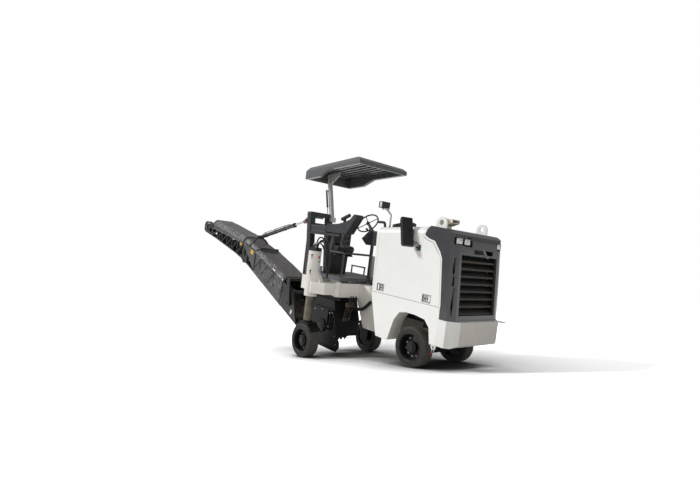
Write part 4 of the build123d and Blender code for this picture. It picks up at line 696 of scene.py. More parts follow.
@dataclass(frozen=True)
class Slatted(Finish):
    """Painted slats whose front edges carry brown road dust."""

    face_foot: Point = (0, 0, 0)
    face_top: Point = (0, 0, 1)
    depth: float = 0.035

    def surface(self, tree: bpy.types.NodeTree, where: bpy.types.NodeSocket) -> Tuple[
            bpy.types.NodeSocket, Optional[bpy.types.NodeSocket]]:
        """Dust in front of a plane that runs parallel to the raked face."""
        rise = Vector(self.face_top) - Vector(self.face_foot)
        out = Vector((rise.z, 0.0, -rise.x)).normalized()
        along = add_node(tree, "ShaderNodeVectorMath", {1: tuple(out)}, {0: where}, operation="DOT_PRODUCT")
        start = out.dot(Vector(self.face_foot))
        clump = add_node(tree, "ShaderNodeTexNoise", {"Scale": 30.0, "Detail": 6.0}, {"Vector": where})
        wobble = add_node(tree, "ShaderNodeMath", {1: 0.05}, {0: clump.outputs[0]}, operation="MULTIPLY")
        pushed = add_node(tree, "ShaderNodeMath", links={0: along.outputs["Value"], 1: wobble.outputs[0]},
                          operation="ADD")
        share = add_node(tree, "ShaderNodeMapRange", {"From Min": start - self.depth, "From Max": start - 0.006,
                                                      "To Max": 0.5}, {"Value": pushed.outputs[0]})
        mix = add_node(tree, "ShaderNodeMix", {7: linear(self.dust)},
                       {0: share.outputs[0], 6: self.mottled(tree, where)}, data_type="RGBA")
        return mix.outputs[2], share.outputs[0]


@dataclass(frozen=True)
class Glass(Finish):
    """Pressed lamp glass over a bright reflector: pale, glossy, ribbed."""

    def height(self, tree: bpy.types.NodeTree, where: bpy.types.NodeSocket) -> bpy.types.NodeSocket:
        """Upright prisms in the glass, 8 mm apart."""
        ribs = add_node(tree, "ShaderNodeTexWave", {"Scale": 1000 / 8.0 / 6.28, "Distortion": 0.0},
                        {"Vector": where}, wave_type="BANDS", bands_direction="Y")
        return ribs.outputs["Fac"]


class Finishes:
    """The machine's finishes, each made once."""

    def __init__(self, chassis: Chassis) -> None:
        """Make every finish that doesn't belong to one wheel."""
        road = "#9b8d7b"
        self.chassis = chassis
        foot, top = chassis.at(668, 0, 827), chassis.at(552, 0, 2112)
        # Two-pack enamel sprayed on sheet steel: bright, faintly wavy, with a film of road dust near the ground.
        self.white = Finish("white_sprayed_enamel", "#f6f6f3", "#f3f3f0", 0.34, coat=0.35, grain=9.0,
                            relief=0.03, dust=road, dust_foot=0.2, dust_top=0.9, dust_most=0.12, dust_up=0.0,
                            patchy=0.3).build()
        # The same enamel on the bumper, whose forward faces carry road dust and painted shade.
        self.bumper = Finish("white_enamel_road_film_and_painted_shade", "#efefec", "#e9e7e3", 0.42, coat=0.2, grain=9.0,
                             relief=0.03, dust="#a8998a", dust_foot=0.1, dust_top=0.8, dust_most=0.12, dust_up=0.0,
                             dust_ahead=0.42, patchy=0.12).build()
        # The same enamel on welded frames and columns, greyer beside the cutter.
        self.frame_white = Finish("white_enamel_on_welded_frame", "#efece6", "#e6e2da", 0.44, coat=0.1, grain=6.0,
                                  relief=0.06, dust=road, dust_foot=0.3, dust_top=1.3, dust_most=0.22, dust_up=0.05,
                                  patchy=0.5).build()
        # Satin graphite enamel on the front cowl.
        self.graphite = Finish("graphite_satin_enamel", "#2f3034", "#27282b", 0.36, gloss=0.4, coat=0.3, grain=7.0,
                               relief=0.03, dust="#7b7670", dust_foot=0.6, dust_top=1.5, dust_most=0.10,
                               dust_up=0.10).build()
        # Near-black enamel on masts, rails and trusses.
        self.truss = Finish("black_truss_enamel", "#242527", "#1b1c1d", 0.4, coat=0.06, grain=5.0, relief=0.05,
                            dust="#6d675f", dust_foot=0.4, dust_top=2.6, dust_most=0.08, dust_up=0.22,
                            gloss=0.3).build()
        # The same enamel, less black, on the mast, the console and the rails.
        self.mast = Finish("slate_enamel_on_mast", "#313337", "#282a2d", 0.4, coat=0.12, grain=5.0, relief=0.05,
                           dust="#7d766d", dust_foot=1.0, dust_top=2.6, dust_most=0.05, dust_up=0.15,
                           gloss=0.35).build()
        self.dark_frame = Finish("dark_enamel_on_castings", "#0d0d0e", "#09090a", 0.45, grain=3.0, relief=0.1,
                                 dust="#4c463e", dust_foot=0.1, dust_top=0.9, dust_most=0.06, dust_up=0.12,
                                 gloss=0.2).build()
        # Bare drawn tube, browned by cutter dust.
        self.tube = Finish("browned_leg_tube", "#6f675c", "#4c463e", 0.55, 0.35, grain=4.0, relief=0.05, mottle=120.0,
                           dust="#8a7d6c", dust_foot=0.2, dust_top=1.4, dust_most=0.3).build()
        # Moulded ABS with a fine spark-eroded grain.
        self.plastic = Finish("black_moulded_abs", "#17181a", "#111213", 0.5, grain=1.4, relief=0.05,
                              dust="#6f665b", dust_foot=0.3, dust_top=2.4, dust_most=0.04, dust_up=0.08,
                              gloss=0.3).build()
        # Hand-laid polyester moulding of the canopy: grey gel coat outside, dusty, with near-black painted shade on
        # what faces down.
        self.canopy = Finish("grey_gel_coat", "#36383b", "#2d2f31", 0.38, coat=0.25, grain=12.0, relief=0.05,
                             dust="#9a9c9f", dust_foot=3.6, dust_top=2.6, dust_most=0.22, dust_up=0.25,
                             patchy=0.4, gloss=0.35, under="#131110").build()
        self.tread = TreadPlate("painted_checker_plate", "#50545b", "#3f4247", 0.5, relief=1.6, dust=road,
                                dust_foot=0.8, dust_top=1.9, dust_most=0.15).build()
        # Dark coated canvas; the pale dust on what faces up is partly road dust and partly painted sheen.
        self.canvas = Woven("grey_coated_canvas", "#474547", "#3b3a3c", 0.4, coat=0.25, relief=3.0, mottle=380.0,
                            dust="#8d857d", dust_foot=0.8, dust_top=3.0, dust_most=0.12, dust_up=0.3).build()
        self.vinyl = Finish("black_seat_vinyl", "#0c0c0d", "#121213", 0.45, gloss=0.3, grain=2.2, relief=0.25,
                            dust="#5b544b", dust_foot=1.0, dust_top=2.6, dust_most=0.08, dust_up=0.1).build()
        # Vulcanised conveyor belting, chalky from milled asphalt.
        self.belt = Finish("conveyor_belting", "#2b2a29", "#3a3835", 0.8, grain=5.0, relief=0.4, dust="#746b60",
                           dust_foot=0.2, dust_top=3.0, dust_most=0.35).build()
        self.zinc = Finish("galvanised_steel", "#b4b6b6", "#9a9d9d", 0.42, 0.7, grain=8.0, relief=0.04,
                           dust="#7b7266", dust_foot=0.2, dust_top=2.0, dust_most=0.2).build()
        # Pale green-grey enamel of the canopy post and lamp pole.
        self.post = Finish("pale_post_enamel", "#c6cac4", "#b6bab4", 0.4, coat=0.2, grain=6.0, relief=0.03,
                           dust="#8f897d", dust_foot=1.0, dust_top=2.4, dust_most=0.25).build()
        self.steel = Finish("worn_cutter_steel", "#4a4038", "#6a5545", 0.62, 0.55, grain=3.0, relief=0.3,
                            dust="#6b5a49", dust_foot=0.0, dust_top=0.9, dust_most=0.5, wear="#a8a39b").build()
        self.iron = Finish("cast_engine_iron", "#2b2c2e", "#202122", 0.7, 0.2, grain=4.0, relief=0.3,
                           dust="#4d463d", dust_foot=0.3, dust_top=2.0, dust_most=0.2).build()
        self.fins = Finish("radiator_fins", "#0d0e0f", "#090a0a", 0.8, grain=3.0, relief=0.8).build()
        # Hard chrome on a ground rod.
        self.chrome = Finish("hard_chrome", "#c9ccd0", "#bfc2c6", 0.12, 1.0, grain=1.0, relief=0.002).build()
        self.barrel = Finish("black_cylinder_enamel", "#1a1b1c", "#222325", 0.3, coat=0.3, gloss=0.4, grain=4.0,
                             relief=0.03, dust=road, dust_foot=1.0, dust_top=3.2, dust_most=0.10, dust_up=0.15).build()
        self.rim = Finish("black_rim_enamel", "#0e0e0f", "#141414", 0.45, grain=4.0, relief=0.05, dust="#6f665a",
                          dust_foot=0.0, dust_top=0.75, dust_most=0.06, dust_up=0.06, gloss=0.3).build()
        self.hose = Finish("black_hose_rubber", "#0f0f10", "#171717", 0.5, gloss=0.35, grain=2.0, relief=0.1,
                           dust="#6b6257", dust_foot=0.3, dust_top=2.0, dust_most=0.10, dust_up=0.1).build()
        self.slats = Slatted("dusty_slat_enamel", "#121214", "#0e0e0f", 0.45, gloss=0.3, grain=3.0, relief=0.05,
                             dust="#51463b", face_foot=tuple(foot), face_top=tuple(top), depth=0.012).build()
        self.lens = Glass("ribbed_lamp_glass", "#e3e7ea", "#c9d0d4", 0.08, coat=1.0, relief=0.5).build()
        self.amber = Finish("amber_reflector", "#d9701a", "#c75f10", 0.2, coat=0.8, grain=3.0, relief=0.3).build()
        self.red = Finish("red_cap_plastic", "#b3241c", "#9c1d17", 0.4, grain=2.0, relief=0.05).build()
        self.paddle = Finish("red_oxide_latch_enamel", "#7c4034", "#6a352b", 0.45, grain=3.0, relief=0.05).build()
        self.teal = Finish("teal_cap_plastic", "#0e8a80", "#0b7a71", 0.4, grain=2.0, relief=0.05).build()
        self.bare_plate = Finish("blank_metal_plate", "#dcdddd", "#cfd0d0", 0.35, 0.2, grain=3.0,
                                 relief=0.02).build()
        self.yellow_plate = Finish("yellow_blank_plate", "#d9b24a", "#c9a13d", 0.45, grain=3.0,
                                   relief=0.02).build()
        self.mirror_glass = Finish("silvered_mirror_glass", "#dfe3e6", "#dfe3e6", 0.03, 1.0, grain=50.0,
                                   relief=0.0).build()
        self.exhaust = Finish("cream_enamel_on_outlet", "#e6dfd2", "#d6cdbd", 0.45, coat=0.1, grain=4.0, relief=0.1,
                              dust="#a8977c", dust_foot=1.8, dust_top=2.4, dust_most=0.1).build()

    def tyre(self, centre: Vector) -> bpy.types.Material:
        """Solid tyre rubber centred on one wheel."""
        name = f"pressed_tyre_rubber_{round(centre.x * 10)}_{'l' if centre.y > 0.3 else 'r'}"
        return TyreRubber(name, "#343331", "#2a2927", 0.75, grain=6.0, relief=0.3, mottle=90.0, dust="#68635b",
                          gloss=0.3, centre=tuple(centre)).build()


# ---------------------------------------------------------------- sub-assemblies
@dataclass
class SubAssembly:
    """What every sub-assembly shares: the chassis that it stands on and the finishes it wears."""

    chassis: Chassis
    finishes: Finishes

    def put(self, obj: bpy.types.Object, body: str, finish: bpy.types.Material, slot: str,
            smooth: float = 35.0) -> bpy.types.Object:
        """Rake a piece modelled on the level chassis into place, dress it and let it ride on its body."""
        dress(obj, finish, self.chassis.stance, smooth)
        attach(obj, body)
        LOG.info("%s rides on %s, %d faces", obj.name, body, len(obj.data.polygons))
        return obj


class Wear(Enum):
    """Finish of each carried-over CAD node, by the name of its field in Finishes."""

    white = ("hood_shell", "right_engine_door", "left_engine_door", "right_body_side", "left_body_side",
             "lifting_eyes")
    bumper = ("bumper",)
    frame_white = ("rear_frame", "left_column", "swing_arm", "body_rear_wall", "wheel_arches")
    graphite = ("front_cowl",)
    truss = ("slew_frame", "conveyor_yoke", "conveyor_lower", "conveyor_upper", "column_head")
    mast = ("mast", "guard_rail", "control_console", "steering_pedestal", "grab_rail")
    dark_frame = ("front_frame", "front_axle", "left_knuckle", "right_knuckle", "drum_housing", "side_plate",
                  "left_leg", "right_leg")
    plastic = ("air_scoop", "mirror", "work_lamp", "head_lamps", "steering_wheel", "seat_base")
    post = ("canopy_post",)
    canopy = ("canopy",)
    tread = ("operator_floor",)
    belt = ("belt_lower", "belt_upper")
    steel = ("milling_drum",)
    iron = ("engine_block",)
    fins = ("radiator_core",)
    chrome = ("lift_rod",)
    barrel = ("lift_barrel",)
    exhaust = ("exhaust_outlet",)
    slats = ("grille_louvres",)
    rim = ("front_right_rim", "front_left_rim", "rear_right_rim", "rear_left_rim")
    canvas = ("cover_lower", "cover_upper")
    vinyl = ("operator_seat",)


@dataclass
class CadDress(SubAssembly):
    """Finishes of the CAD nodes."""

    nodes: Dict[str, bpy.types.Object]

    def wear(self, name: str, material: bpy.types.Material) -> None:
        """Give a CAD node its finish."""
        mesh = self.nodes[name].data
        if not mesh.materials:
            mesh.materials.append(material)
        for number in range(len(mesh.materials)):
            mesh.materials[number] = material

    def build(self) -> None:
        """Dress every node, the tyres each about its own hub."""
        for kind in Wear:
            for name in kind.value:
                self.wear(name, getattr(self.finishes, kind.name))
        for name in self.nodes:
            if name.endswith("_tyre"):
                low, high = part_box(name)
                self.wear(name, self.finishes.tyre((low + high) / 2))


@dataclass
class ConveyorCover(SubAssembly):
    """Canvas cover of a conveyor section, stretched over bows and laced to the truss."""

    name: str
    node: str
    body: str
    ridge: Sequence[Tuple[float, float]]
    foot: Sequence[Tuple[float, float]]
    bevel: float
    drop: float
    bows: Sequence[float]
    bands: Sequence[Tuple[float, float, float]] = ()   # place, width and lean
    middle_y: float = CONVEYOR_Y
    half: float = 346.0
    corner: float = 46.0
    along: int = 120
    around: int = 72
    sag: float = 4.0
    band_girt: float = 1.012    # breadth of a band as a share of the cover's
    seed: float = 0.0

    @staticmethod
    def level(line: Sequence[Tuple[float, float]], x: float) -> float:
        """Height of a line of points at x."""
        for (x0, z0), (x1, z1) in zip(line, line[1:]):
            if x <= x1:
                return z0 + (z1 - z0) * (x - x0) / (x1 - x0)
        return line[-1][1]

    def girth(self, x: float) -> List[Tuple[float, float]]:
        """Rounded outline across the conveyor at x, as even steps from the right foot to the left one."""
        top, low = self.level(self.ridge, x), self.level(self.foot, x)
        half = self.half
        line = [Vector(p) for p in ((-half, low), (-half, top - self.drop), (self.bevel - half, top),
                                    (half - self.bevel, top), (half, top - self.drop), (half, low))]
        smooth = [line[0]]
        for before, here, after in zip(line, line[1:], line[2:]):
            back = (before - here).normalized() * min(self.corner, (before - here).length * 0.45)
            ahead = (after - here).normalized() * min(self.corner, (after - here).length * 0.45)
            for step in range(7):
                t = step / 6
                smooth.append((here + back) * (1 - t) ** 2 + here * 2 * t * (1 - t) + (here + ahead) * t ** 2)
        smooth.append(line[-1])
        lengths = [0.0]
        for a, b in zip(smooth, smooth[1:]):
            lengths.append(lengths[-1] + (b - a).length)
        steps = []
        index = 0
        for step in range(self.around + 1):
            want = lengths[-1] * step / self.around
            while index < len(lengths) - 2 and lengths[index + 1] < want:
                index += 1
            share = (want - lengths[index]) / (lengths[index + 1] - lengths[index])
            steps.append(smooth[index].lerp(smooth[index + 1], share))
        return [(p.x, p.y) for p in steps]

    def slack(self, x: float, share: float) -> float:
        """How far the canvas is drawn in at x, in millimetres; share runs round the girth from 0 to 1."""
        span = next(((a, b) for a, b in zip(self.bows, self.bows[1:]) if a <= x <= b), (x - 1, x + 1))
        bay = math.sin(math.pi * (x - span[0]) / (span[1] - span[0]))
        edge = min(1.0, min(share, 1 - share) / 0.08)
        flank = min(1.0, max(0.0, (abs(share - 0.5) - 0.16) / 0.1))
        run = x + 1500 * abs(share - 0.5)
        crease = abs(noise.noise(Vector((run / 170 + self.seed, share * 2.2, self.seed))))
        cross = abs(noise.noise(Vector(((x - 1900 * abs(share - 0.5)) / 230, share * 1.7, 7 + self.seed))))
        fine = noise.noise(Vector((x / 90 + self.seed, share * 9.0, self.seed)))
        return edge * (self.sag * bay * (1 - 0.5 * flank) + flank * (13 * crease + 9 * cross) + 1.2 * fine)

    def cloth(self) -> Tuple[bpy.types.Object, float]:
        """The canvas, and its flat area in square metres."""
        idle()
        bpy.ops.mesh.primitive_grid_add(x_subdivisions=self.along, y_subdivisions=self.around, size=1.0)
        sheet = bpy.context.object
        sheet.name = self.name
        rear, front = self.ridge[0][0], self.ridge[-1][0]
        rows = {}
        centre = Vector((self.middle_y, 0))
        for vertex in sheet.data.vertices:
            i = round((vertex.co.x + 0.5) * self.along)
            j = round((vertex.co.y + 0.5) * self.around)
            x = rear + (front - rear) * i / self.along
            if i not in rows:
                rows[i] = self.girth(x)
            y, z = rows[i][j]
            before, after = rows[i][max(0, j - 1)], rows[i][min(self.around, j + 1)]
            inward = Vector((after[1] - before[1], before[0] - after[0])).normalized()
            shift = self.slack(x, j / self.around)
            vertex.co = Vector((x, centre.x + y + inward.x * shift, z + inward.y * shift)) * MM
        area = sum(face.area for face in sheet.data.polygons)
        return sheet, area

    def hem(self, side: int) -> bpy.types.Object:
        """Doubled hem along one foot."""
        rear, front = self.ridge[0][0], self.ridge[-1][0]
        y = self.middle_y + side * (self.half + 1.5)
        points = [(x, y, self.level(self.foot, x) + 12) for x in (rear + 8, (rear + front) / 2, front - 8)]
        return pipe(f"{self.name}_hem_{'left' if side > 0 else 'right'}", points, 12, 2, 2)

    def band(self, name: str, x: float, width: float, drop: float) -> bpy.types.Object:
        """Steel band over the cover from foot to foot, its outline extruded along the conveyor.

        Args:
            name: the piece's name.
            x: where it lies in millimetres.
            width: along the conveyor.
            drop: how far the foot end leans forward.

        Returns:
            The band.
        """
        idle()
        outline = self.girth(x)[::3]
        bpy.ops.mesh.primitive_circle_add(vertices=len(outline), radius=1.0)
        strip = bpy.context.object
        strip.name = name
        top = self.level(self.ridge, x)
        for vertex, (y, z) in zip(strip.data.vertices, outline):
            lean = drop * (top - z) / max(1.0, top - outline[0][1])
            vertex.co = Vector((x + lean, self.middle_y + y * self.band_girt, z + 4)) * MM
        pick(strip, lambda middle, along: abs(along.y) > 0.999 and middle.z < (outline[0][1] + 60) * MM, Pick.EDGE)
        bpy.ops.mesh.delete(type="EDGE")
        pick(strip, lambda middle, along: True, Pick.EDGE)
        slope = (self.level(self.ridge, x + 1) - self.level(self.ridge, x - 1)) / 2
        bpy.ops.mesh.extrude_region_move(TRANSFORM_OT_translate={"value": (width * MM, 0, width * slope * MM)})
        idle()
        modify(strip, "SOLIDIFY", thickness=0.006, offset=0.0)
        return strip

    def build(self) -> None:
        sheet, area = self.cloth()
        modify(sheet, "SOLIDIFY", thickness=0.0022, offset=0.0)
        sheet = self.put(sheet, self.body, self.finishes.canvas, "cover_canvas", 50)
        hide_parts(self.node)
        hems = [self.put(self.hem(side), self.body, self.finishes.canvas, "cover_canvas") for side in (-1, 1)]
        for number, (x, width, drop) in enumerate(self.bands):
            self.put(self.band(f"{self.name}_band_{number}", x, width, drop), self.body, self.finishes.truss,
                     "graphite_paint")


@dataclass
class FoldCover(SubAssembly):
    """Loose canvas over the fold between the two covers: a top under the yoke and a flap on each side."""

    rear: float = -5716.0
    front: float = -5067.0
    middle_y: float = CONVEYOR_Y
    half: float = 346.0
    rear_top: float = 1512.0
    front_top: float = 1296.0
    rear_foot: float = 1353.0
    front_foot: float = 778.0
    ease: float = 1.02          # share by which the cloth is longer than the straight gap

    def grid(self, name: str, across: int) -> bpy.types.Object:
        """Flat grid that a piece of canvas is shaped from."""
        idle()
        bpy.ops.mesh.primitive_grid_add(x_subdivisions=60, y_subdivisions=across, size=1.0)
        sheet = bpy.context.object
        sheet.name = name
        return sheet

    def flap(self, side: int) -> bpy.types.Object:
        """Side flap, laced along the truss and pulled into slanting folds."""
        sheet = self.grid(f"fold_canvas_flap_{'left' if side > 0 else 'right'}", 40)
        for vertex in sheet.data.vertices:
            u, v = vertex.co.x + 0.5, vertex.co.y + 0.5
            x = self.rear + (self.front - self.rear) * u
            low = self.rear_foot + (self.front_foot - self.rear_foot) * u
            high = self.rear_top - 104 + (self.front_top - 66 - self.rear_top + 104) * u
            z = low + (high - low) * v
            wave = noise.noise(Vector((u * 5 + v * 3.0, u * 2 - v * 2, side * 3.0)))
            hold_in = min(1.0, min(u, 1 - u) / 0.08) * min(1.0, min(v, 1 - v) / 0.1)
            vertex.co = Vector((x, self.middle_y + side * (self.half - 1.5 + 7 * hold_in * abs(wave)), z)) * MM
        return sheet

    def top(self) -> bpy.types.Object:
        """Top canvas: a low arch that passes between the legs of the yoke."""
        sheet = self.grid("fold_canvas_top", 40)
        for vertex in sheet.data.vertices:
            u, v = vertex.co.x + 0.5, (vertex.co.y + 0.5) * 2 - 1
            x = self.rear + (self.front - self.rear) * u
            half = 344 - 58 * math.sin(math.pi * u) ** 0.5
            crown = self.rear_top + (self.front_top - self.rear_top) * u - 22 * math.sin(math.pi * u)
            shoulder = crown - 100 + 34 * u
            bend = max(0.0, (abs(v) - 0.68) / 0.32)
            z = crown + (shoulder - crown) * bend ** 1.4
            fold = noise.noise(Vector((u * 7, v * 1.6, 2.0))) * 6 * min(1.0, min(u, 1 - u) / 0.1) * (1 - bend)
            vertex.co = Vector((x, self.middle_y + v * half, z - abs(fold))) * MM
        return sheet

    def build(self) -> None:
        """Make the three sheets, dress them and put each in place."""
        for sheet, width in ((self.top(), 760.0), (self.flap(-1), 460.0), (self.flap(1), 460.0)):
            modify(sheet, "SOLIDIFY", thickness=0.002, offset=0.0)
            dress(sheet, self.finishes.canvas, self.chassis.stance, 50)
            tuple(self.chassis.at(self.front + 60, self.middle_y, 1100))
            tuple(self.chassis.at(self.rear - 10, self.middle_y, 1440))
            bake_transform(sheet)
            LOG.info("%s turns with the fold", sheet.name)


@dataclass
class OperatorSeat(SubAssembly):
    """Sprung seat: a padded cushion and back in black vinyl on a steel slide."""

    rear_x: float = -2640.0
    middle_y: float = -200.0
    seat_low: float = 1500.0
    seat_high: float = 1640.0

    def pad(self, name: str, size: Point, place: Matrix, channels: Sequence[float], swell: float) -> bpy.types.Object:
        """Padded cushion: a rounded block that cloth pressure blows up, then sewn channels.

        Args:
            name: the piece's name.
            size: width, depth and thickness in millimetres.
            place: from the cushion's own frame to the level chassis.
            channels: places of the sewn channels along the first side, from -0.5 to 0.5.
            swell: the furthest that a point may move, in millimetres.

        Returns:
            The padded piece.
        """
        shrink = swell * 0.7
        low = [-s / 2 + shrink for s in size]
        high = [s / 2 - shrink for s in size]
        pad = block(name, tuple(low), tuple(high), min(size) * 0.28, 4)
        modify(pad, "REMESH", mode="VOXEL", voxel_size=0.008)
        before = [vertex.co.copy() for vertex in pad.data.vertices]
        hold(pad)
        bpy.ops.object.modifier_add(type="CLOTH")
        cloth = pad.modifiers[-1]
        cloth.settings.use_pressure = True
        cloth.settings.uniform_pressure_force = 4.0
        cloth.settings.effector_weights.gravity = 0.0
        cloth.point_cache.frame_start, cloth.point_cache.frame_end = 1, 20
        for frame in range(1, 21):
            bpy.context.scene.frame_set(frame)
        bpy.ops.object.modifier_apply(modifier=cloth.name)
        bpy.context.scene.frame_set(1)
        for vertex, start in zip(pad.data.vertices, before):
            move = vertex.co - start
            if move.length > swell * MM:
                vertex.co = start + move.normalized() * swell * MM
            for channel in channels:
                near = abs(vertex.co.x / (size[0] * MM) - channel) * size[0]
                if vertex.co.z > 0 and near < 16:
                    vertex.co.z -= 0.007 * (1 + math.cos(math.pi * near / 16)) / 2
        modify(pad, "SUBSURF", levels=1, render_levels=1)
        pad.data.transform(place)
        return pad

    def welt(self, name: str, width: float, depth: float, place: Matrix) -> bpy.types.Object:
        """Piping sewn round the rim of a cushion."""
        w, d, r = width / 2 - 4, depth / 2 - 4, 40
        corners = [(w, r - d), (w, d - r), (w - r, d), (r - w, d), (-w, d - r), (-w, r - d), (r - w, -d), (w - r, -d),
                   (w, r - d)]
        line = pipe(name, [(x, y, 0) for x, y in corners], 8, 3, 2)
        line.data.transform(place)
        return line

    def build(self) -> None:
        """Seat cushion, back, piping, slide and lever."""
        middle = (self.seat_low + self.seat_high) / 2 + 8
        flat = Matrix.Translation(Vector((self.rear_x + 222, self.middle_y, middle)) * MM)
        lean = math.atan2(100, 440)
        back_place = (Matrix.Translation(Vector((self.rear_x - 2, self.middle_y, 1828)) * MM)
                      @ Matrix.Rotation(-lean, 4, "Y") @ Matrix.Rotation(math.radians(90), 4, "Y")
                      @ Matrix.Rotation(math.radians(90), 4, "Z"))
        cushion = self.pad("seat_cushion", (430, 424, 128), flat, (-0.22, 0.22), 12)
        back = self.pad("seat_back", (396, 420, 92), back_place, (-0.22, 0.22), 10)
        for piece in (cushion, back):
            self.put(piece, "chassis", self.finishes.vinyl, "seat_vinyl", 60)
        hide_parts("operator_seat")
        seam = self.welt("seat_cushion_piping", 436, 426, flat)
        self.put(seam, "chassis", self.finishes.vinyl, "seat_vinyl")
        slide = [block("seat_slide", (self.rear_x + 20, self.middle_y - 180, 1440.5),
                       (self.rear_x + 400, self.middle_y + 180, 1458), 3),
                 block("seat_pan", (self.rear_x + 10, self.middle_y - 190, 1482),
                       (self.rear_x + 410, self.middle_y + 190, 1503), 4)]
        for y in (-150, 150):
            slide.append(block("seat_runner", (self.rear_x + 24, self.middle_y + y - 16, 1456),
                               (self.rear_x + 396, self.middle_y + y + 16, 1484), 3))
        slide.append(pipe("seat_lever", [(self.rear_x + 380, self.middle_y - 150, 1470),
                                         (self.rear_x + 430, self.middle_y - 150, 1470),
                                         (self.rear_x + 470, self.middle_y - 150, 1455)], 11, 3))
        self.put(joined("seat_slide", slide), "chassis", self.finishes.plastic, "black_plastic")


@dataclass
class WheelDress(SubAssembly):
    """Nuts, hub cover and lip of one solid-tyred wheel."""

    name: str
    x: float
    out_y: float
    side: int
    z: float
    nuts: int = 10
    nut_circle: float = 140.0
    nut_depth: float = 109.0
    hub_depth: float = 30.0

    def depth(self, value: float) -> float:
        """y at a depth inside the wheel's outer face."""
        return self.out_y - self.side * value

    def nut(self) -> bpy.types.Object:
        """One wheel nut with its stud and washer, modelled at the origin with z outwards."""
        bpy.ops.object.select_all(action="DESELECT")
        nut = round_bar("nut", (0, 0, -2), (0, 0, 15), 15, 6, 2.0)
        stud = round_bar("stud", (0, 0, 10), (0, 0, 25), 8, 10, 1.5)
        washer = round_bar("washer", (0, 0, -4), (0, 0, 0.5), 21, 16, 1.0)
        return joined("nut", [nut, stud, washer])

    def build(self) -> None:
        """Wheel nuts, hub cover with its screws, and the rim's rolled lip."""
        out = (0.0, float(self.side), 0.0)
        body = f"{self.name}_wheel"
        idle()
        places = []
        for number in range(self.nuts):
            turn = 2 * math.pi * (number + 0.5) / self.nuts
            places.append(aim(self.x + self.nut_circle * math.cos(turn), self.depth(self.nut_depth),
                              self.z + self.nut_circle * math.sin(turn), out))
        nuts = copies(f"{self.name}_nuts", self.nut(), places)
        self.put(nuts, body, self.finishes.zinc, "galvanised")
        cover = round_bar("cover", (self.x, self.depth(self.hub_depth + 1), self.z),
                          (self.x, self.depth(self.hub_depth - 12), self.z), 62, 36, 4)
        outer = self.depth(self.hub_depth - 12) * MM
        stepped(cover, lambda middle, normal: abs(middle.y - outer) < 0.0006 and abs(normal.y) > 0.9,
                ((0.018, (0, -self.side * 0.004, 0)), (0.012, (0, self.side * 0.006, 0))))
        screw = round_bar("screw", (0, 0, -1), (0, 0, 6), 6, 6, 1.2)
        screws = copies("screws", screw, [aim(self.x + 52 * math.cos(a), self.depth(self.hub_depth - 12),
                                              self.z + 52 * math.sin(a), out)
                                          for a in (math.pi * n / 3 for n in range(6))])
        self.put(joined(f"{self.name}_hub_cover", [cover, screws]), body, self.finishes.rim, "rim_paint")
        lip = ring_of(f"{self.name}_rim_lip", (self.x, self.depth(5), self.z), out, 205, 7, 56, 10)
        self.put(lip, body, self.finishes.rim, "rim_paint")


@dataclass
class FrontLamps(SubAssembly):
    """Glasses and bezels of the three head lamps in the cowl."""

    face_x: float = 546.4
    low_z: float = 1886.0
    high_z: float = 1986.0
    spans: Sequence[Tuple[float, float]] = ((-560.0, -400.0), (-378.0, -225.0), (445.0, 560.0))

    def lens(self, name: str, y0: float, y1: float) -> bpy.types.Object:
        """Rounded glass pressed out a little in its middle."""
        glass = rounded_plate(name, (self.face_x - 2, y0 + 12, self.low_z + 11),
                              (self.face_x + 4, y1 - 12, self.high_z - 11), 14)
        front = (self.face_x + 4) * MM
        return stepped(glass, lambda middle, normal: normal.x > 0.9 and middle.x > front - 0.001,
                       ((0.009, (0.006, 0, 0)), (0.012, (0.003, 0, 0))))

    def bezel(self, name: str, y0: float, y1: float) -> bpy.types.Object:
        """Rounded frame round a glass, sunk inside its edge."""
        ring = rounded_plate(name, (self.face_x - 3, y0 + 3, self.low_z + 3),
                             (self.face_x + 6, y1 - 3, self.high_z - 3), 18)
        front = (self.face_x + 6) * MM
        return stepped(ring, lambda middle, normal: normal.x > 0.9 and middle.x > front - 0.001,
                       ((0.009, (-0.0065, 0, 0)),))

    def build(self) -> None:
        """All three lamps."""
        for number, (y0, y1) in enumerate(self.spans):
            self.put(self.lens(f"head_lamp_glass_{number}", y0, y1), "chassis", self.finishes.lens, "lamp_body")
            self.put(self.bezel(f"head_lamp_bezel_{number}", y0, y1), "chassis", self.finishes.plastic, "lamp_body")


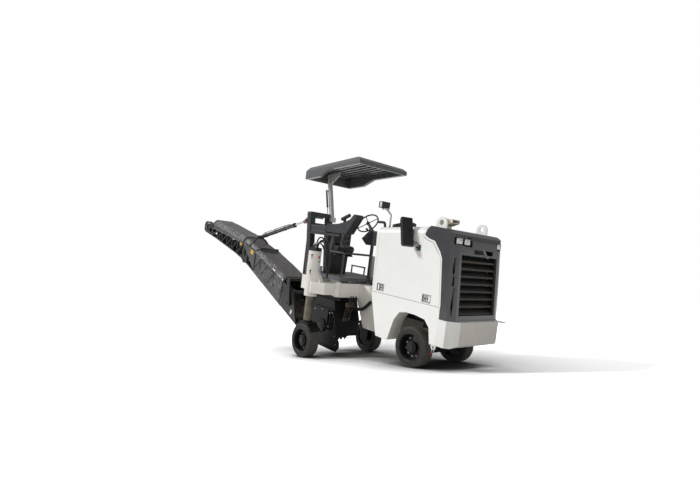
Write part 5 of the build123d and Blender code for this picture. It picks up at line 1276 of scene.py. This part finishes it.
@dataclass
class DoorFittings(SubAssembly):
    """The two latches of one engine door."""

    body: str
    side: int
    half_width: float = 619.0
    latches: Sequence[Tuple[float, float, float]] = ((-754.0, 1079.0, -48.0), (208.0, 1069.0, 48.0))

    def latch(self, number: int, x: float, z: float, strip: float) -> None:
        """Bright tray with its paddle, grip and lock.

        Args:
            number: which latch of the door.
            x: middle of the tray in millimetres.
            z: its height.
            strip: where the paddle stands along the tray.
        """
        y = self.side * self.half_width

        def deep(value: float) -> float:
            """y at a depth inside the door's face."""
            return y - self.side * value
        back, front = sorted((deep(19.5), deep(18.5)))
        tray = block(f"{self.body}_latch_tray_{number}", (x - 84, back, z - 62), (x + 84, front, z + 62), 0)
        floor = deep(18.5) * MM
        pick(tray, lambda middle, normal: abs(middle.y - floor) < 0.0003 and abs(normal.y) > 0.9)
        bpy.ops.mesh.inset(thickness=0.009)
        pick(tray, lambda middle, normal: abs(middle.y - floor) < 0.0003 and abs(normal.y) > 0.9
             and max(abs(middle.x - x * MM), abs(middle.z - z * MM)) > 0.03)
        bpy.ops.mesh.extrude_region_move(TRANSFORM_OT_translate={"value": (0, self.side * 0.0195, 0)})
        idle()
        self.put(tray, self.body, self.finishes.zinc, "galvanised")
        ys = sorted((deep(19), deep(4)))
        paddle = block(f"{self.body}_latch_paddle_{number}", (x + strip - 20, ys[0], z - 46),
                       (x + strip + 20, ys[1], z + 46), 5)
        outer = deep(4) * MM
        stepped(paddle, lambda middle, normal: abs(middle.y - outer) < 0.001 and abs(normal.y) > 0.9,
                ((0.007, (0, -self.side * 0.004, 0)),))
        self.put(paddle, self.body, self.finishes.paddle,
                 "black_plastic")
        grip = block("grip", (x - strip / 2 - 34, ys[0], z - 16), (x - strip / 2 + 34, ys[1], z + 16), 4)
        pin = round_bar("pin", (x - strip / 2, deep(14), z - 44), (x - strip / 2, deep(14), z + 44), 6, 12, 1)
        key = round_bar("key", (x - strip / 2, deep(19), z + 32), (x - strip / 2, deep(7), z + 32), 10, 18, 1.5)
        self.put(joined(f"{self.body}_latch_lock_{number}", [grip, pin, key]), self.body, self.finishes.zinc,
                 "galvanised")

    def build(self) -> None:
        """Both latches."""
        for number, (x, z, strip) in enumerate(self.latches):
            self.latch(number, x, z, strip)


@dataclass
class RightMirror(SubAssembly):
    """Glass, rim, arm sleeve, joint and bolts of the mirror on the right door."""

    centre: Point = (-230.0, -723.0, 1990.0)
    turn: float = -18.0
    lean: float = -19.0

    def build(self) -> None:
        """Glass in its rim, the bolts of the arm's foot with their caps, then the arm's sleeve and joint."""
        place = (Matrix.Translation(Vector(self.centre) * MM) @ Matrix.Rotation(math.radians(self.turn), 4, "Z")
                 @ Matrix.Rotation(math.radians(self.lean), 4, "Y"))
        glass = rounded_plate("mirror_glass", (-33, -84, -204), (-30.5, 84, 204), 22)
        glass.data.transform(place)
        self.put(glass, "right_door", self.finishes.mirror_glass, "lamp_body")
        rim = rounded_plate("mirror_rim", (-35, -92, -213), (-29, 92, 213), 26)
        back = -35 * MM
        stepped(rim, lambda middle, normal: normal.x < -0.9 and middle.x < back + 0.001, ((0.008, (0.0035, 0, 0)),))
        rim.data.transform(place)
        self.put(rim, "right_door", self.finishes.plastic, "black_plastic")
        bolts = copies("mirror_arm_bolts", round_bar("bolt", (0, 0, -1), (0, 0, 14), 13, 6, 2),
                       [aim(-76, -633, z, (0, -1, 0)) for z in (1756, 1800)])
        self.put(bolts, "right_door", self.finishes.zinc, "galvanised")
        caps = copies("mirror_arm_caps", round_bar("cap", (0, 0, -1), (0, 0, 11), 11, 12, 2.5),
                      [aim(-44, -633, z, (0, -1, 0)) for z in (1756, 1800)])
        self.put(caps, "right_door", self.finishes.teal, "black_plastic")
        sleeve = pipe("mirror_arm_sleeve", [(-197, -652, 1985), (-192, -645, 1930), (-192, -645, 1880),
                                            (-150, -642, 1862), (-96, -640, 1842), (-70, -634, 1806)], 25, 3, 3)
        self.put(sleeve, "right_door", self.finishes.zinc, "galvanised")
        joint = round_bar("joint", (-200, -668, 1968), (-200, -668, 2036), 26, 18, 4)
        collar = round_bar("collar", (-200, -668, 1985), (-200, -668, 2019), 31, 18, 4)
        self.put(joined("mirror_ball_joint", [joint, collar]), "right_door", self.finishes.plastic, "black_plastic")


@dataclass
class HoodTop(SubAssembly):
    """Breather pipe and work lamp at the rear of the hood."""

    def build(self) -> None:
        """Breather pipe, then the lamp's pole, fins and glass."""
        breather = pipe("rear_breather_pipe", [(-1055, -395, 2052), (-1060, -395, 2130), (-1150, -395, 2130),
                                               (-1235, -395, 2132)], 44, 3, 4)
        self.put(breather, "chassis", self.finishes.plastic, "black_plastic")
        pole = [round_bar("pole", (-945, -395, 2076), (-945, -395, 2262), 16.4, 20, 1),
                round_bar("bent_pole", (-945, -395, 2256), (-1020, -435, 2350), 16.4, 20, 1),
                block("cradle", (-1083, -493, 2343), (-1002, -397, 2361), 2),
                block("cheek", (-1113, -368, 2345), (-1060, -362, 2420), 1)]
        pole += [round_bar("bolt", (x, y, 2328), (x, y, 2346), 9, 6, 1.5) for x, y in ((-1066, -478), (-1066, -412))]
        self.put(joined("work_lamp_pole_sleeve", pole), "chassis", self.finishes.zinc, "galvanised")
        fins = [block("fin", (-1118, y, 2370), (-1087, y + 5, 2462), 1) for y in range(-530, -366, 18)]
        self.put(joined("work_lamp_fins", fins), "chassis", self.finishes.plastic, "black_plastic")
        glass = block("work_lamp_glass", (-1092, -541, 2372), (-1042, -539, 2460), 0)
        self.put(glass, "chassis", self.finishes.lens, "lamp_body")


@dataclass
class PostFittings(SubAssembly):
    """Gas strut beside the canopy post, and the grip on the console."""

    def build(self) -> None:
        """Strut with its rod, and the thick grip of the travel lever on its boot."""
        strut = round_bar("strut", (-3139, -112, 2396), (-3236, -112, 2734), 19, 24, 3)
        collar = round_bar("collar", (-3134, -112, 2380), (-3142, -112, 2408), 22, 24, 3)
        self.put(joined("canopy_gas_strut", [strut, collar]), "chassis", self.finishes.barrel, "black_plastic")
        rod = round_bar("canopy_gas_strut_rod", (-3074, -112, 2146), (-3139, -112, 2398), 10.2, 18, 1)
        self.put(rod, "chassis", self.finishes.chrome, "chrome")
        grip = round_bar("grip", (-2146, -470, 2128), (-1926, -470, 2212), 33, 24, 12)
        boot = ribbed_pipe("boot", [(-2052, -470, 2036), (-2054, -470, 2070), (-2057, -470, 2112), (-2059, -470, 2146)],
                           62, 13)
        self.put(joined("travel_lever_grip", [grip, boot]), "chassis", self.finishes.hose, "black_plastic")


@dataclass
class LegTube(SubAssembly):
    """Bare inner tube of a lifting leg with its wiper ring."""

    name: str
    y: float
    x: float = LEG_X

    def build(self) -> None:
        """The tube's skin, and the ring at its foot."""
        tube = round_bar(f"{self.name}_leg_tube", (self.x, self.y, 234), (self.x, self.y, 1086), 72.4, 48, 1)
        foot = round_bar(f"{self.name}_leg_foot_ring", (self.x, self.y, 233), (self.x, self.y, 262), 84, 40, 4)
        body = f"{self.name}_leg_unit"
        self.put(tube, body, self.finishes.tube, "galvanised")
        self.put(foot, body, self.finishes.dark_frame, "graphite_paint")


@dataclass
class LiftCylinder(SubAssembly):
    """Hose with its clamps, and coloured nut on the conveyor's lift cylinder."""

    pin: Point = (-5480.0, CONVEYOR_Y, 1572.0)
    eye: Point = (-3520.0, CONVEYOR_Y, 2063.0)

    def at(self, reach: float, right: float = 0.0, rise: float = 0.0) -> Point:
        """Point beside the cylinder's line, a reach from the barrel's pin."""
        along = (Vector(self.eye) - Vector(self.pin)).normalized()
        over = Vector((-along.z, 0.0, along.x))
        spot = Vector(self.pin) + along * reach + Vector((0.0, -right, 0.0)) + over * rise
        return tuple(spot)

    def build(self) -> None:
        """Barrel trim on the barrel, nut on the rod."""
        length = (Vector(self.eye) - Vector(self.pin)).length
        nut = round_bar("rod_end_nut", self.at(length - 128), self.at(length - 74), 42, 8, 4)
        self.put(nut, "rod", self.finishes.red, "black_plastic")
        hose = pipe("hose", [self.at(90, 0, 40), self.at(120, 0, 72), self.at(320, 8, 70), self.at(760, 8, 64),
                             self.at(1180, 8, 66), self.at(1300, 0, 58), self.at(1345, 0, 44)], 16, 3, 3)
        clamps = [ring_of("clamp", self.at(reach), tuple(Vector(self.eye) - Vector(self.pin)), 47, 4, 28, 8)
                  for reach in (260, 700, 1120)]
        self.put(joined("barrel_hose", [hose, *clamps]), "barrel", self.finishes.hose, "black_plastic")


@dataclass
class SwingLegFittings(SubAssembly):
    """Hoses, couplings, reflectors and slots on the swung-out rear leg."""

    column_x: float = LEG_X
    column_y: float = RIGHT_LEG_Y
    column_r: float = 114.0
    ports: Sequence[Point] = ((60, 35, 150), (30, -10, 200), (-20, 40, 120), (80, -40, 90))     # place, rise of hose

    def port(self, ahead: float, aside: float, z: float) -> Point:
        """Place of a hose port on the column's head, at a height."""
        return (self.column_x + ahead * 0.5, self.column_y + aside * 0.6, z)

    def on_column(self, bearing: float, z: float, off: float = 0.0) -> Tuple[Point, Point]:
        """Point on the column's skin and the way out from it.

        Args:
            bearing: degrees from forward to the right.
            z: height in millimetres.
            off: distance off the skin.

        Returns:
            The point and the outward direction.
        """
        a = math.radians(bearing)
        reach = self.column_r + off
        return ((self.column_x + reach * math.cos(a), self.column_y - reach * math.sin(a), z),
                (math.cos(a), -math.sin(a), 0.0))

    def build(self) -> None:
        """Everything on the column and beside it."""
        body, f = "swing_unit", self.finishes
        slots = []
        for z in (1428, 1150):
            (x, y, height), out = self.on_column(62, z, -2)
            slots.append(round_bar("slot", (x, y, height), (x + out[0] * 4, y + out[1] * 4, height), 17, 18, 1))
            a = Vector((-out[1], out[0], 0))
            low = Vector((x, y, height - 62)) - a * 9
            high = Vector((x, y, height)) + a * 9 + Vector(out) * 4
            slots.append(block("slot_tail", tuple(map(min, low, high)), tuple(map(max, low, high)), 1))
        self.put(joined("column_key_slots", slots), body, f.plastic, "black_plastic")
        reflectors = copies("column_reflectors", round_bar("lens", (0, 0, -1), (0, 0, 7), 17, 24, 3),
                            [aim(*self.on_column(138, z)[0], self.on_column(138, z)[1]) for z in (1400, 1108)])
        self.put(reflectors, body, f.amber, "lamp_body")
        hoses = []
        for number, (dx, dy, lift) in enumerate(self.ports):
            start = self.port(dx, dy, 1550)
            hoses.append(pipe(f"hose_{number}", [start, (start[0], start[1], 1560 + lift),
                                                 (start[0] + 190, start[1] + 60 + dy, 1560 + lift * 0.9),
                                                 (start[0] + 215, start[1] + 120, 1300 - 30 * number),
                                                 (self.column_x + 235, self.column_y + 150, 1040)], 26, 3, 3))
        self.put(joined("leg_hoses", hoses), body, f.hose, "black_plastic")
        ends = [round_bar("end", self.port(dx, dy, 1548), self.port(dx, dy, 1592), 17, 6, 2)
                for dx, dy, _ in self.ports]
        self.put(joined("leg_hose_ends", ends), body, f.zinc, "galvanised")
        red = round_bar("red_port_cap", (self.column_x + 225, self.column_y - 70, 1385),
                        (self.column_x + 225, self.column_y - 70, 1425), 15, 12, 3)
        self.put(red, body, f.red, "black_plastic")
        green = round_bar("green_port_cap", (self.column_x + 250, self.column_y - 70, 1320),
                          (self.column_x + 250, self.column_y - 70, 1350), 14, 12, 3)
        self.put(green, body, f.teal, "black_plastic")
        neck = round_bar("neck", (self.column_x - 30, self.column_y + 10, 1560),
                         (self.column_x - 30, self.column_y + 10, 1650), 34, 24, 8)
        nut = round_bar("nut", (self.column_x - 30, self.column_y + 10, 1590),
                        (self.column_x - 30, self.column_y + 10, 1616), 44, 6, 3)
        side_port = round_bar("side_port", (self.column_x - 30, self.column_y + 10, 1632),
                              (self.column_x + 50, self.column_y - 10, 1632), 17, 6, 3)
        self.put(joined("column_head_fitting", [neck, nut, side_port]), body, f.exhaust, "white_paint")
        ribbed = ribbed_pipe("swing_arm_hose", [(-1930, -190, 610), (-1830, -215, 560), (-1640, -230, 520),
                                                (-1480, -215, 590), (-1400, -180, 720)], 62, 13)
        self.put(ribbed, "chassis", f.hose, "black_plastic")


@dataclass
class CutterFittings(SubAssembly):
    """Guide channel, bolts and shaft cover on the floating side plate; hoses and bolts on the drum housing."""

    face_y: float = -622.0
    hose_ys: Sequence[float] = (-430, -380, -310)

    def build(self) -> None:
        """Side plate trim, then what hangs on the housing."""
        f = self.finishes
        channel = [block("bar", (x, self.face_y - 26, 90), (x + 18, self.face_y + 1, 452), 3) for x in (-2010, -1930)]
        channel += [block("rail", (-1995, self.face_y - 9, 84), (-1925, self.face_y + 1, 98), 2),
                    block("foot_strip", (-2560, self.face_y - 12, -236), (-1700, self.face_y + 1, -206), 4),
                    block("gusset", (-1882, self.face_y - 20, 120), (-1866, self.face_y + 1, 340), 3)]
        self.put(joined("side_plate_channel", channel), "side_guard", f.dark_frame, "graphite_paint")
        spots = [(-2500, 40), (-2420, 400), (-2200, 430), (-1900, 420), (-1750, 20), (-1700, -120), (-2540, -120),
                 (-1968, 150), (-1968, 400)]
        bolts = copies("side_plate_bolts", round_bar("bolt", (0, 0, -2), (0, 0, 12), 13, 6, 2),
                       [aim(x, self.face_y, z, (0, -1, 0)) for x, z in spots])
        self.put(bolts, "side_guard", f.zinc, "galvanised")
        cap = round_bar("drum_shaft_cover", (-2165, self.face_y + 3, 135), (-2165, self.face_y - 20, 135), 118, 36, 6)
        stepped(cap, lambda middle, normal: normal.y < -0.9, ((0.03, (0, 0.008, 0)), (0.03, (0, -0.012, 0))))
        self.put(cap, "side_guard", f.dark_frame, "graphite_paint")
        row = copies("housing_bolts", round_bar("bolt", (0, 0, -2), (0, 0, 11), 12, 6, 2),
                     [aim(-1783, y, -20, (1, 0, 0)) for y in range(-570, -80, 70)])
        self.put(row, "chassis", f.zinc, "galvanised")
        hoses = [pipe("hose", [(-1660, y, 768), (-1690, y + 10, 640), (-1740, y - 10, 520), (-1762, y - 20, 420),
                               (-1776, y - 20, 330)], 24, 3, 3) for y in self.hose_ys]
        hoses.append(pipe("hose", [(-1700, -460, 560), (-1660, -440, 500), (-1660, -400, 470), (-1700, -330, 520),
                                   (-1700, -250, 600)], 22, 3, 3))
        self.put(joined("housing_hoses", hoses), "chassis", f.hose, "black_plastic")
        ends = [round_bar("end", (-1772, y - 20, 352), (-1785, y - 20, 292), 17, 6, 3) for y in self.hose_ys]
        ends.append(block("manifold", (-1760, -460, 560), (-1700, -280, 640), 6))
        self.put(joined("housing_hose_ends", ends), "chassis", f.steel, "galvanised")


@dataclass
class ConsoleFittings(SubAssembly):
    """Face of the arm box, the valve block under the console and its small levers."""

    def build(self) -> None:
        """Three groups of trim."""
        f = self.finishes
        box = block("arm_box_face", (-3046, -566, 1856), (-2474, -559, 1975), 3)
        stepped(box, lambda middle, normal: normal.y < -0.9, ((0.014, (0, 0.003, 0)),))
        self.put(box, "chassis", f.graphite, "graphite_paint")
        pod = [block("valve", (-1990, -566, 1660), (-1905, -402, 1845), 6),
               block("valve_foot", (-1975, -540, 1600), (-1920, -420, 1665), 6)]
        pod += [round_bar("knob", (-1904, y, z), (-1872, y, z), 21, 18, 5) for y in (-530, -450) for z in (1700, 1790)]
        self.put(joined("console_valve_block", pod), "chassis", f.plastic, "black_plastic")
        button = round_bar("console_key_switch", (-2020, -568, 1824), (-2020, -592, 1824), 17, 20, 4)
        self.put(button, "chassis", f.steel, "galvanised")
        seat_levers = pipe("lever", [(-2440, -420, 1500), (-2330, -430, 1500), (-2250, -430, 1478)], 14, 3, 3)
        knob = round_bar("knob", (-2252, -430, 1478), (-2226, -430, 1472), 16, 16, 5)
        self.put(joined("seat_side_lever", [seat_levers, knob]), "chassis", f.plastic, "black_plastic")


@dataclass
class ConveyorFittings(SubAssembly):
    """Blank plates, the lower cover's handle and the head drum's bearing."""

    def plate(self, name: str, body: str, centre: Point, size: Tuple[float, float], finish: bpy.types.Material,
              slope: float) -> None:
        """Bare plate riveted to the right side of the conveyor."""
        w, h = size
        plate = block("plate", (-w / 2, -1.5, -h / 2), (w / 2, 1.5, h / 2), 1)
        rivets = copies("rivets", round_bar("rivet", (0, 0, 0), (0, 0, 2.4), 4, 10, 1),
                        [aim(sx * (w / 2 - 9), -1.5, sz * (h / 2 - 9), (0, -1, 0)) for sx in (-1, 1) for sz in (-1, 1)])
        made = joined(name, [plate, rivets])
        made.data.transform(Matrix.Translation(Vector(centre) * MM) @ Matrix.Rotation(math.radians(slope), 4, "Y"))
        self.put(made, body, finish, "galvanised")

    def build(self) -> None:
        """Plates on both sections, handle, bearing and its bright parts."""
        f = self.finishes
        self.plate("upper_side_plate_blank", "upper_conveyor", (-6315, -642.5, 1446), (110, 70), f.bare_plate, 10.5)
        self.plate("fold_side_plate_blank", "upper_conveyor", (-5860, -642.5, 1345), (110, 90), f.yellow_plate, 10.5)
        self.plate("foot_side_plate_blank", "lower_conveyor", (-3241, -641.5, 158), (60, 90), f.bare_plate, 21)
        self.plate("lower_side_plate_blank", "lower_conveyor", (-5190, -656.0, 1196), (150, 100), f.yellow_plate, 18)
        handle = [block("handle", (-4990, -560, 1284), (-4950, -80, 1300), 4),
                  block("handle_lip", (-4962, -560, 1298), (-4950, -80, 1330), 3)]
        handle += [block("handle_foot", (-5000, y, 1262), (-4945, y + 16, 1290), 3) for y in (-556, -100)]
        self.put(joined("lower_cover_handle", handle), "lower_conveyor", f.truss, "graphite_paint")
        head = [ring_of("ring", (-8180, -641, 1640), (0, 1, 0), 118, 8, 36, 8),
                round_bar("bearing", (-8180, -640, 1640), (-8180, -662, 1640), 52, 24, 5),
                block("tension_block", (-8030, -652, 1600), (-7930, -640, 1680), 3)]
        head += [round_bar("screw", (-7930, -646, 1640), (-7780, -646, 1640), 12, 12, 2)]
        self.put(joined("head_bearing", head), "upper_conveyor", f.truss, "graphite_paint")
        bright = [round_bar("cap", (-8180, -660, 1640), (-8180, -670, 1640), 22, 20, 3),
                  block("scraper", (-8120, -648, 1735), (-7950, -640, 1760), 3)]
        self.put(joined("head_bright_parts", bright), "upper_conveyor", f.zinc, "galvanised")


@dataclass
class BumperFittings(SubAssembly):
    """Shackle with its blank tag ahead of the front wheel."""

    def shackle(self, name: str, x: float, y: float, z: float) -> None:
        """Bow shackle hanging through the tie-down eye."""
        bow = pipe(name, [(x, y - 18, z + 4), (x, y - 20, z - 22), (x, y - 30, z - 52), (x, y - 12, z - 74),
                          (x, y + 12, z - 74), (x, y + 30, z - 52), (x, y + 20, z - 22), (x, y + 18, z + 4)], 11, 3, 3)
        pin = round_bar("pin", (x, y - 30, z), (x, y + 30, z), 7, 14, 1.5)
        head = round_bar("head", (x, y - 32, z), (x, y - 24, z), 12, 6, 1.5)
        self.put(joined(name, [bow, pin, head]), "chassis", self.finishes.zinc, "galvanised")

    def build(self) -> None:
        """The right shackle and its tag."""
        self.shackle("right_shackle", 430, -597, 420)
        tag = block("shackle_tag", (427, -640, 318), (433, -606, 352), 2)
        self.put(tag, "chassis", self.finishes.red, "black_plastic")


# ---------------------------------------------------------------- studio
@dataclass
class Studio:
    """Pale floor, soft light and the camera."""

    chassis: Chassis
    eye: Point = (4.453, -5.481, 0.932)     # from the ground under the front axle, metres
    heading: float = 50.03
    upward: float = 5.55
    roll: float = 0.0
    lens: float = 22.42
    shift: float = 0.0329

    def camera(self) -> None:
        """Camera low beside the right front corner."""
        data = bpy.data.cameras.new("camera")
        data.lens, data.sensor_width, data.shift_y = self.lens, 36.0, self.shift
        data.clip_end = 200.0
        obj = bpy.data.objects.new("camera", data)
        bpy.context.collection.objects.link(obj)
        ground = Vector((self.chassis.axle.x, self.chassis.axle.y, 0))
        obj.location = ground + Vector(self.eye)
        obj.rotation_euler = (math.radians(90 + self.upward), math.radians(self.roll), math.radians(self.heading))
        bpy.context.scene.camera = obj

    def floor(self) -> None:
        """Floor that the shadow falls on."""
        idle()
        bpy.ops.mesh.primitive_plane_add(size=400, location=(0, 0, -0.0005))
        floor = bpy.context.object
        floor.name = "floor"
        fix(floor)
        # Matt pale screed; seen or mirrored it is white wherever open sky reaches it, and ambient occlusion paints a
        # contact shadow into its colour near the machine, so only that painted contact shadow shows.
        material = bpy.data.materials.new("pale_screed")
        material.use_nodes = True
        tree = material.node_tree
        tree.nodes.clear()
        path = add_node(tree, "ShaderNodeLightPath")
        mirrored = add_node(tree, "ShaderNodeMath", links={0: path.outputs["Is Glossy Ray"],
                                                           1: path.outputs["Is Transmission Ray"]},
                            operation="MAXIMUM")
        seen = add_node(tree, "ShaderNodeMath", links={0: path.outputs["Is Camera Ray"], 1: mirrored.outputs[0]},
                        operation="MAXIMUM")
        near = add_node(tree, "ShaderNodeAmbientOcclusion", {"Distance": 2.2}, samples=8)
        open_sky = add_node(tree, "ShaderNodeMapRange", {"From Min": 0.35, "From Max": 0.99,
                                                         "To Min": 0.08, "To Max": 2.15}, {"Value": near.outputs["AO"]})
        bright = add_node(tree, "ShaderNodeCombineXYZ", links={0: open_sky.outputs[0], 1: open_sky.outputs[0],
                                                               2: open_sky.outputs[0]})
        tone = add_node(tree, "ShaderNodeMix", {6: (0.62, 0.615, 0.6, 1.0)},
                        {0: seen.outputs[0], 7: bright.outputs[0]}, data_type="RGBA", clamp_result=False)
        matt = add_node(tree, "ShaderNodeBsdfDiffuse", links={"Color": tone.outputs[2]})
        add_node(tree, "ShaderNodeOutputMaterial", links={0: matt.outputs[0]})
        floor.data.materials.append(material)

    def light(self) -> None:
        """Even sky and one broad key from the right."""
        world = bpy.data.worlds.new("even_sky")
        bpy.context.scene.world = world
        world.use_nodes = True
        tree = world.node_tree
        tree.nodes.clear()
        path = add_node(tree, "ShaderNodeLightPath")
        clear = add_node(tree, "ShaderNodeMath", links={0: path.outputs["Is Camera Ray"],
                                                        1: path.outputs["Is Transmission Ray"]}, operation="MAXIMUM")
        level = add_node(tree, "ShaderNodeMapRange", {"To Min": 0.42, "To Max": 1.0}, {"Value": clear.outputs[0]})
        sky = add_node(tree, "ShaderNodeBackground", {"Color": (1, 1, 1, 1)}, {"Strength": level.outputs[0]})
        add_node(tree, "ShaderNodeOutputWorld", links={0: sky.outputs[0]})
        for name, toward, strength, spread in (("key", (-0.50, -0.66, 0.56), 2.1, 9.0),
                                               ("fill", (0.8, -0.35, 0.45), 0.22, 60.0)):
            data = bpy.data.lights.new(name, "SUN")
            data.energy, data.angle = strength, math.radians(spread)
            lamp = bpy.data.objects.new(name, data)
            bpy.context.collection.objects.link(lamp)
            lamp.rotation_euler = Vector(toward).to_track_quat("Z", "Y").to_euler()

    def build(self) -> None:
        """Camera, floor and light."""
        self.camera()
        self.floor()
        self.light()
        bpy.context.scene.view_settings.view_transform = "Standard"


def main() -> None:
    """Build the scene, sub-assembly by sub-assembly."""
    logging.basicConfig(level=logging.INFO, format="%(message)s")
    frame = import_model()
    idle()
    chassis = Chassis.from_frame()
    Studio(chassis).build()
    finishes = Finishes(chassis)
    CadDress(chassis, finishes, frame["nodes"]).build()
    ConveyorCover(chassis, finishes, "lower_canvas_cover", "cover_lower", "lower_conveyor",
                  [(-5063, 1300), (-4360, 1074), (-3650, 814)], [(-5063, 777), (-3650, 226)], 100, 72,
                  (-5063, -3650), ((-3684, 30, -60), (-5062, 40, 0)), seed=3.0).build()
    ConveyorCover(chassis, finishes, "upper_canvas_cover", "cover_upper", "upper_conveyor",
                  [(-7740, 1864), (-7383, 1822), (-5904, 1564), (-5720, 1520)],
                  [(-7740, 1622), (-5720, 1353)], 100, 110, (-7740, -5720), ((-5770, 40, 0), (-7736, 34, 0)),
                  seed=8.0).build()
    FoldCover(chassis, finishes).build()
    OperatorSeat(chassis, finishes).build()
    for name, x, y, side, z in (("front_right", 0, -611, -1, 300), ("front_left", 0, 611, 1, 300),
                                ("rear_right", LEG_X, -1129, -1, -104), ("rear_left", LEG_X, 611, 1, -104)):
        WheelDress(chassis, finishes, name, x, y, side, z).build()
    FrontLamps(chassis, finishes).build()
    DoorFittings(chassis, finishes, "right_door", -1).build()
    DoorFittings(chassis, finishes, "left_door", 1).build()
    for fittings in (RightMirror, HoodTop, PostFittings):
        fittings(chassis, finishes).build()
    LegTube(chassis, finishes, "right", RIGHT_LEG_Y).build()
    LegTube(chassis, finishes, "left", LEFT_LEG_Y).build()
    for fittings in (LiftCylinder, SwingLegFittings, ConveyorFittings, CutterFittings, ConsoleFittings,
                     BumperFittings):
        fittings(chassis, finishes).build()
    idle()


if __name__ == "__main__":
    main()
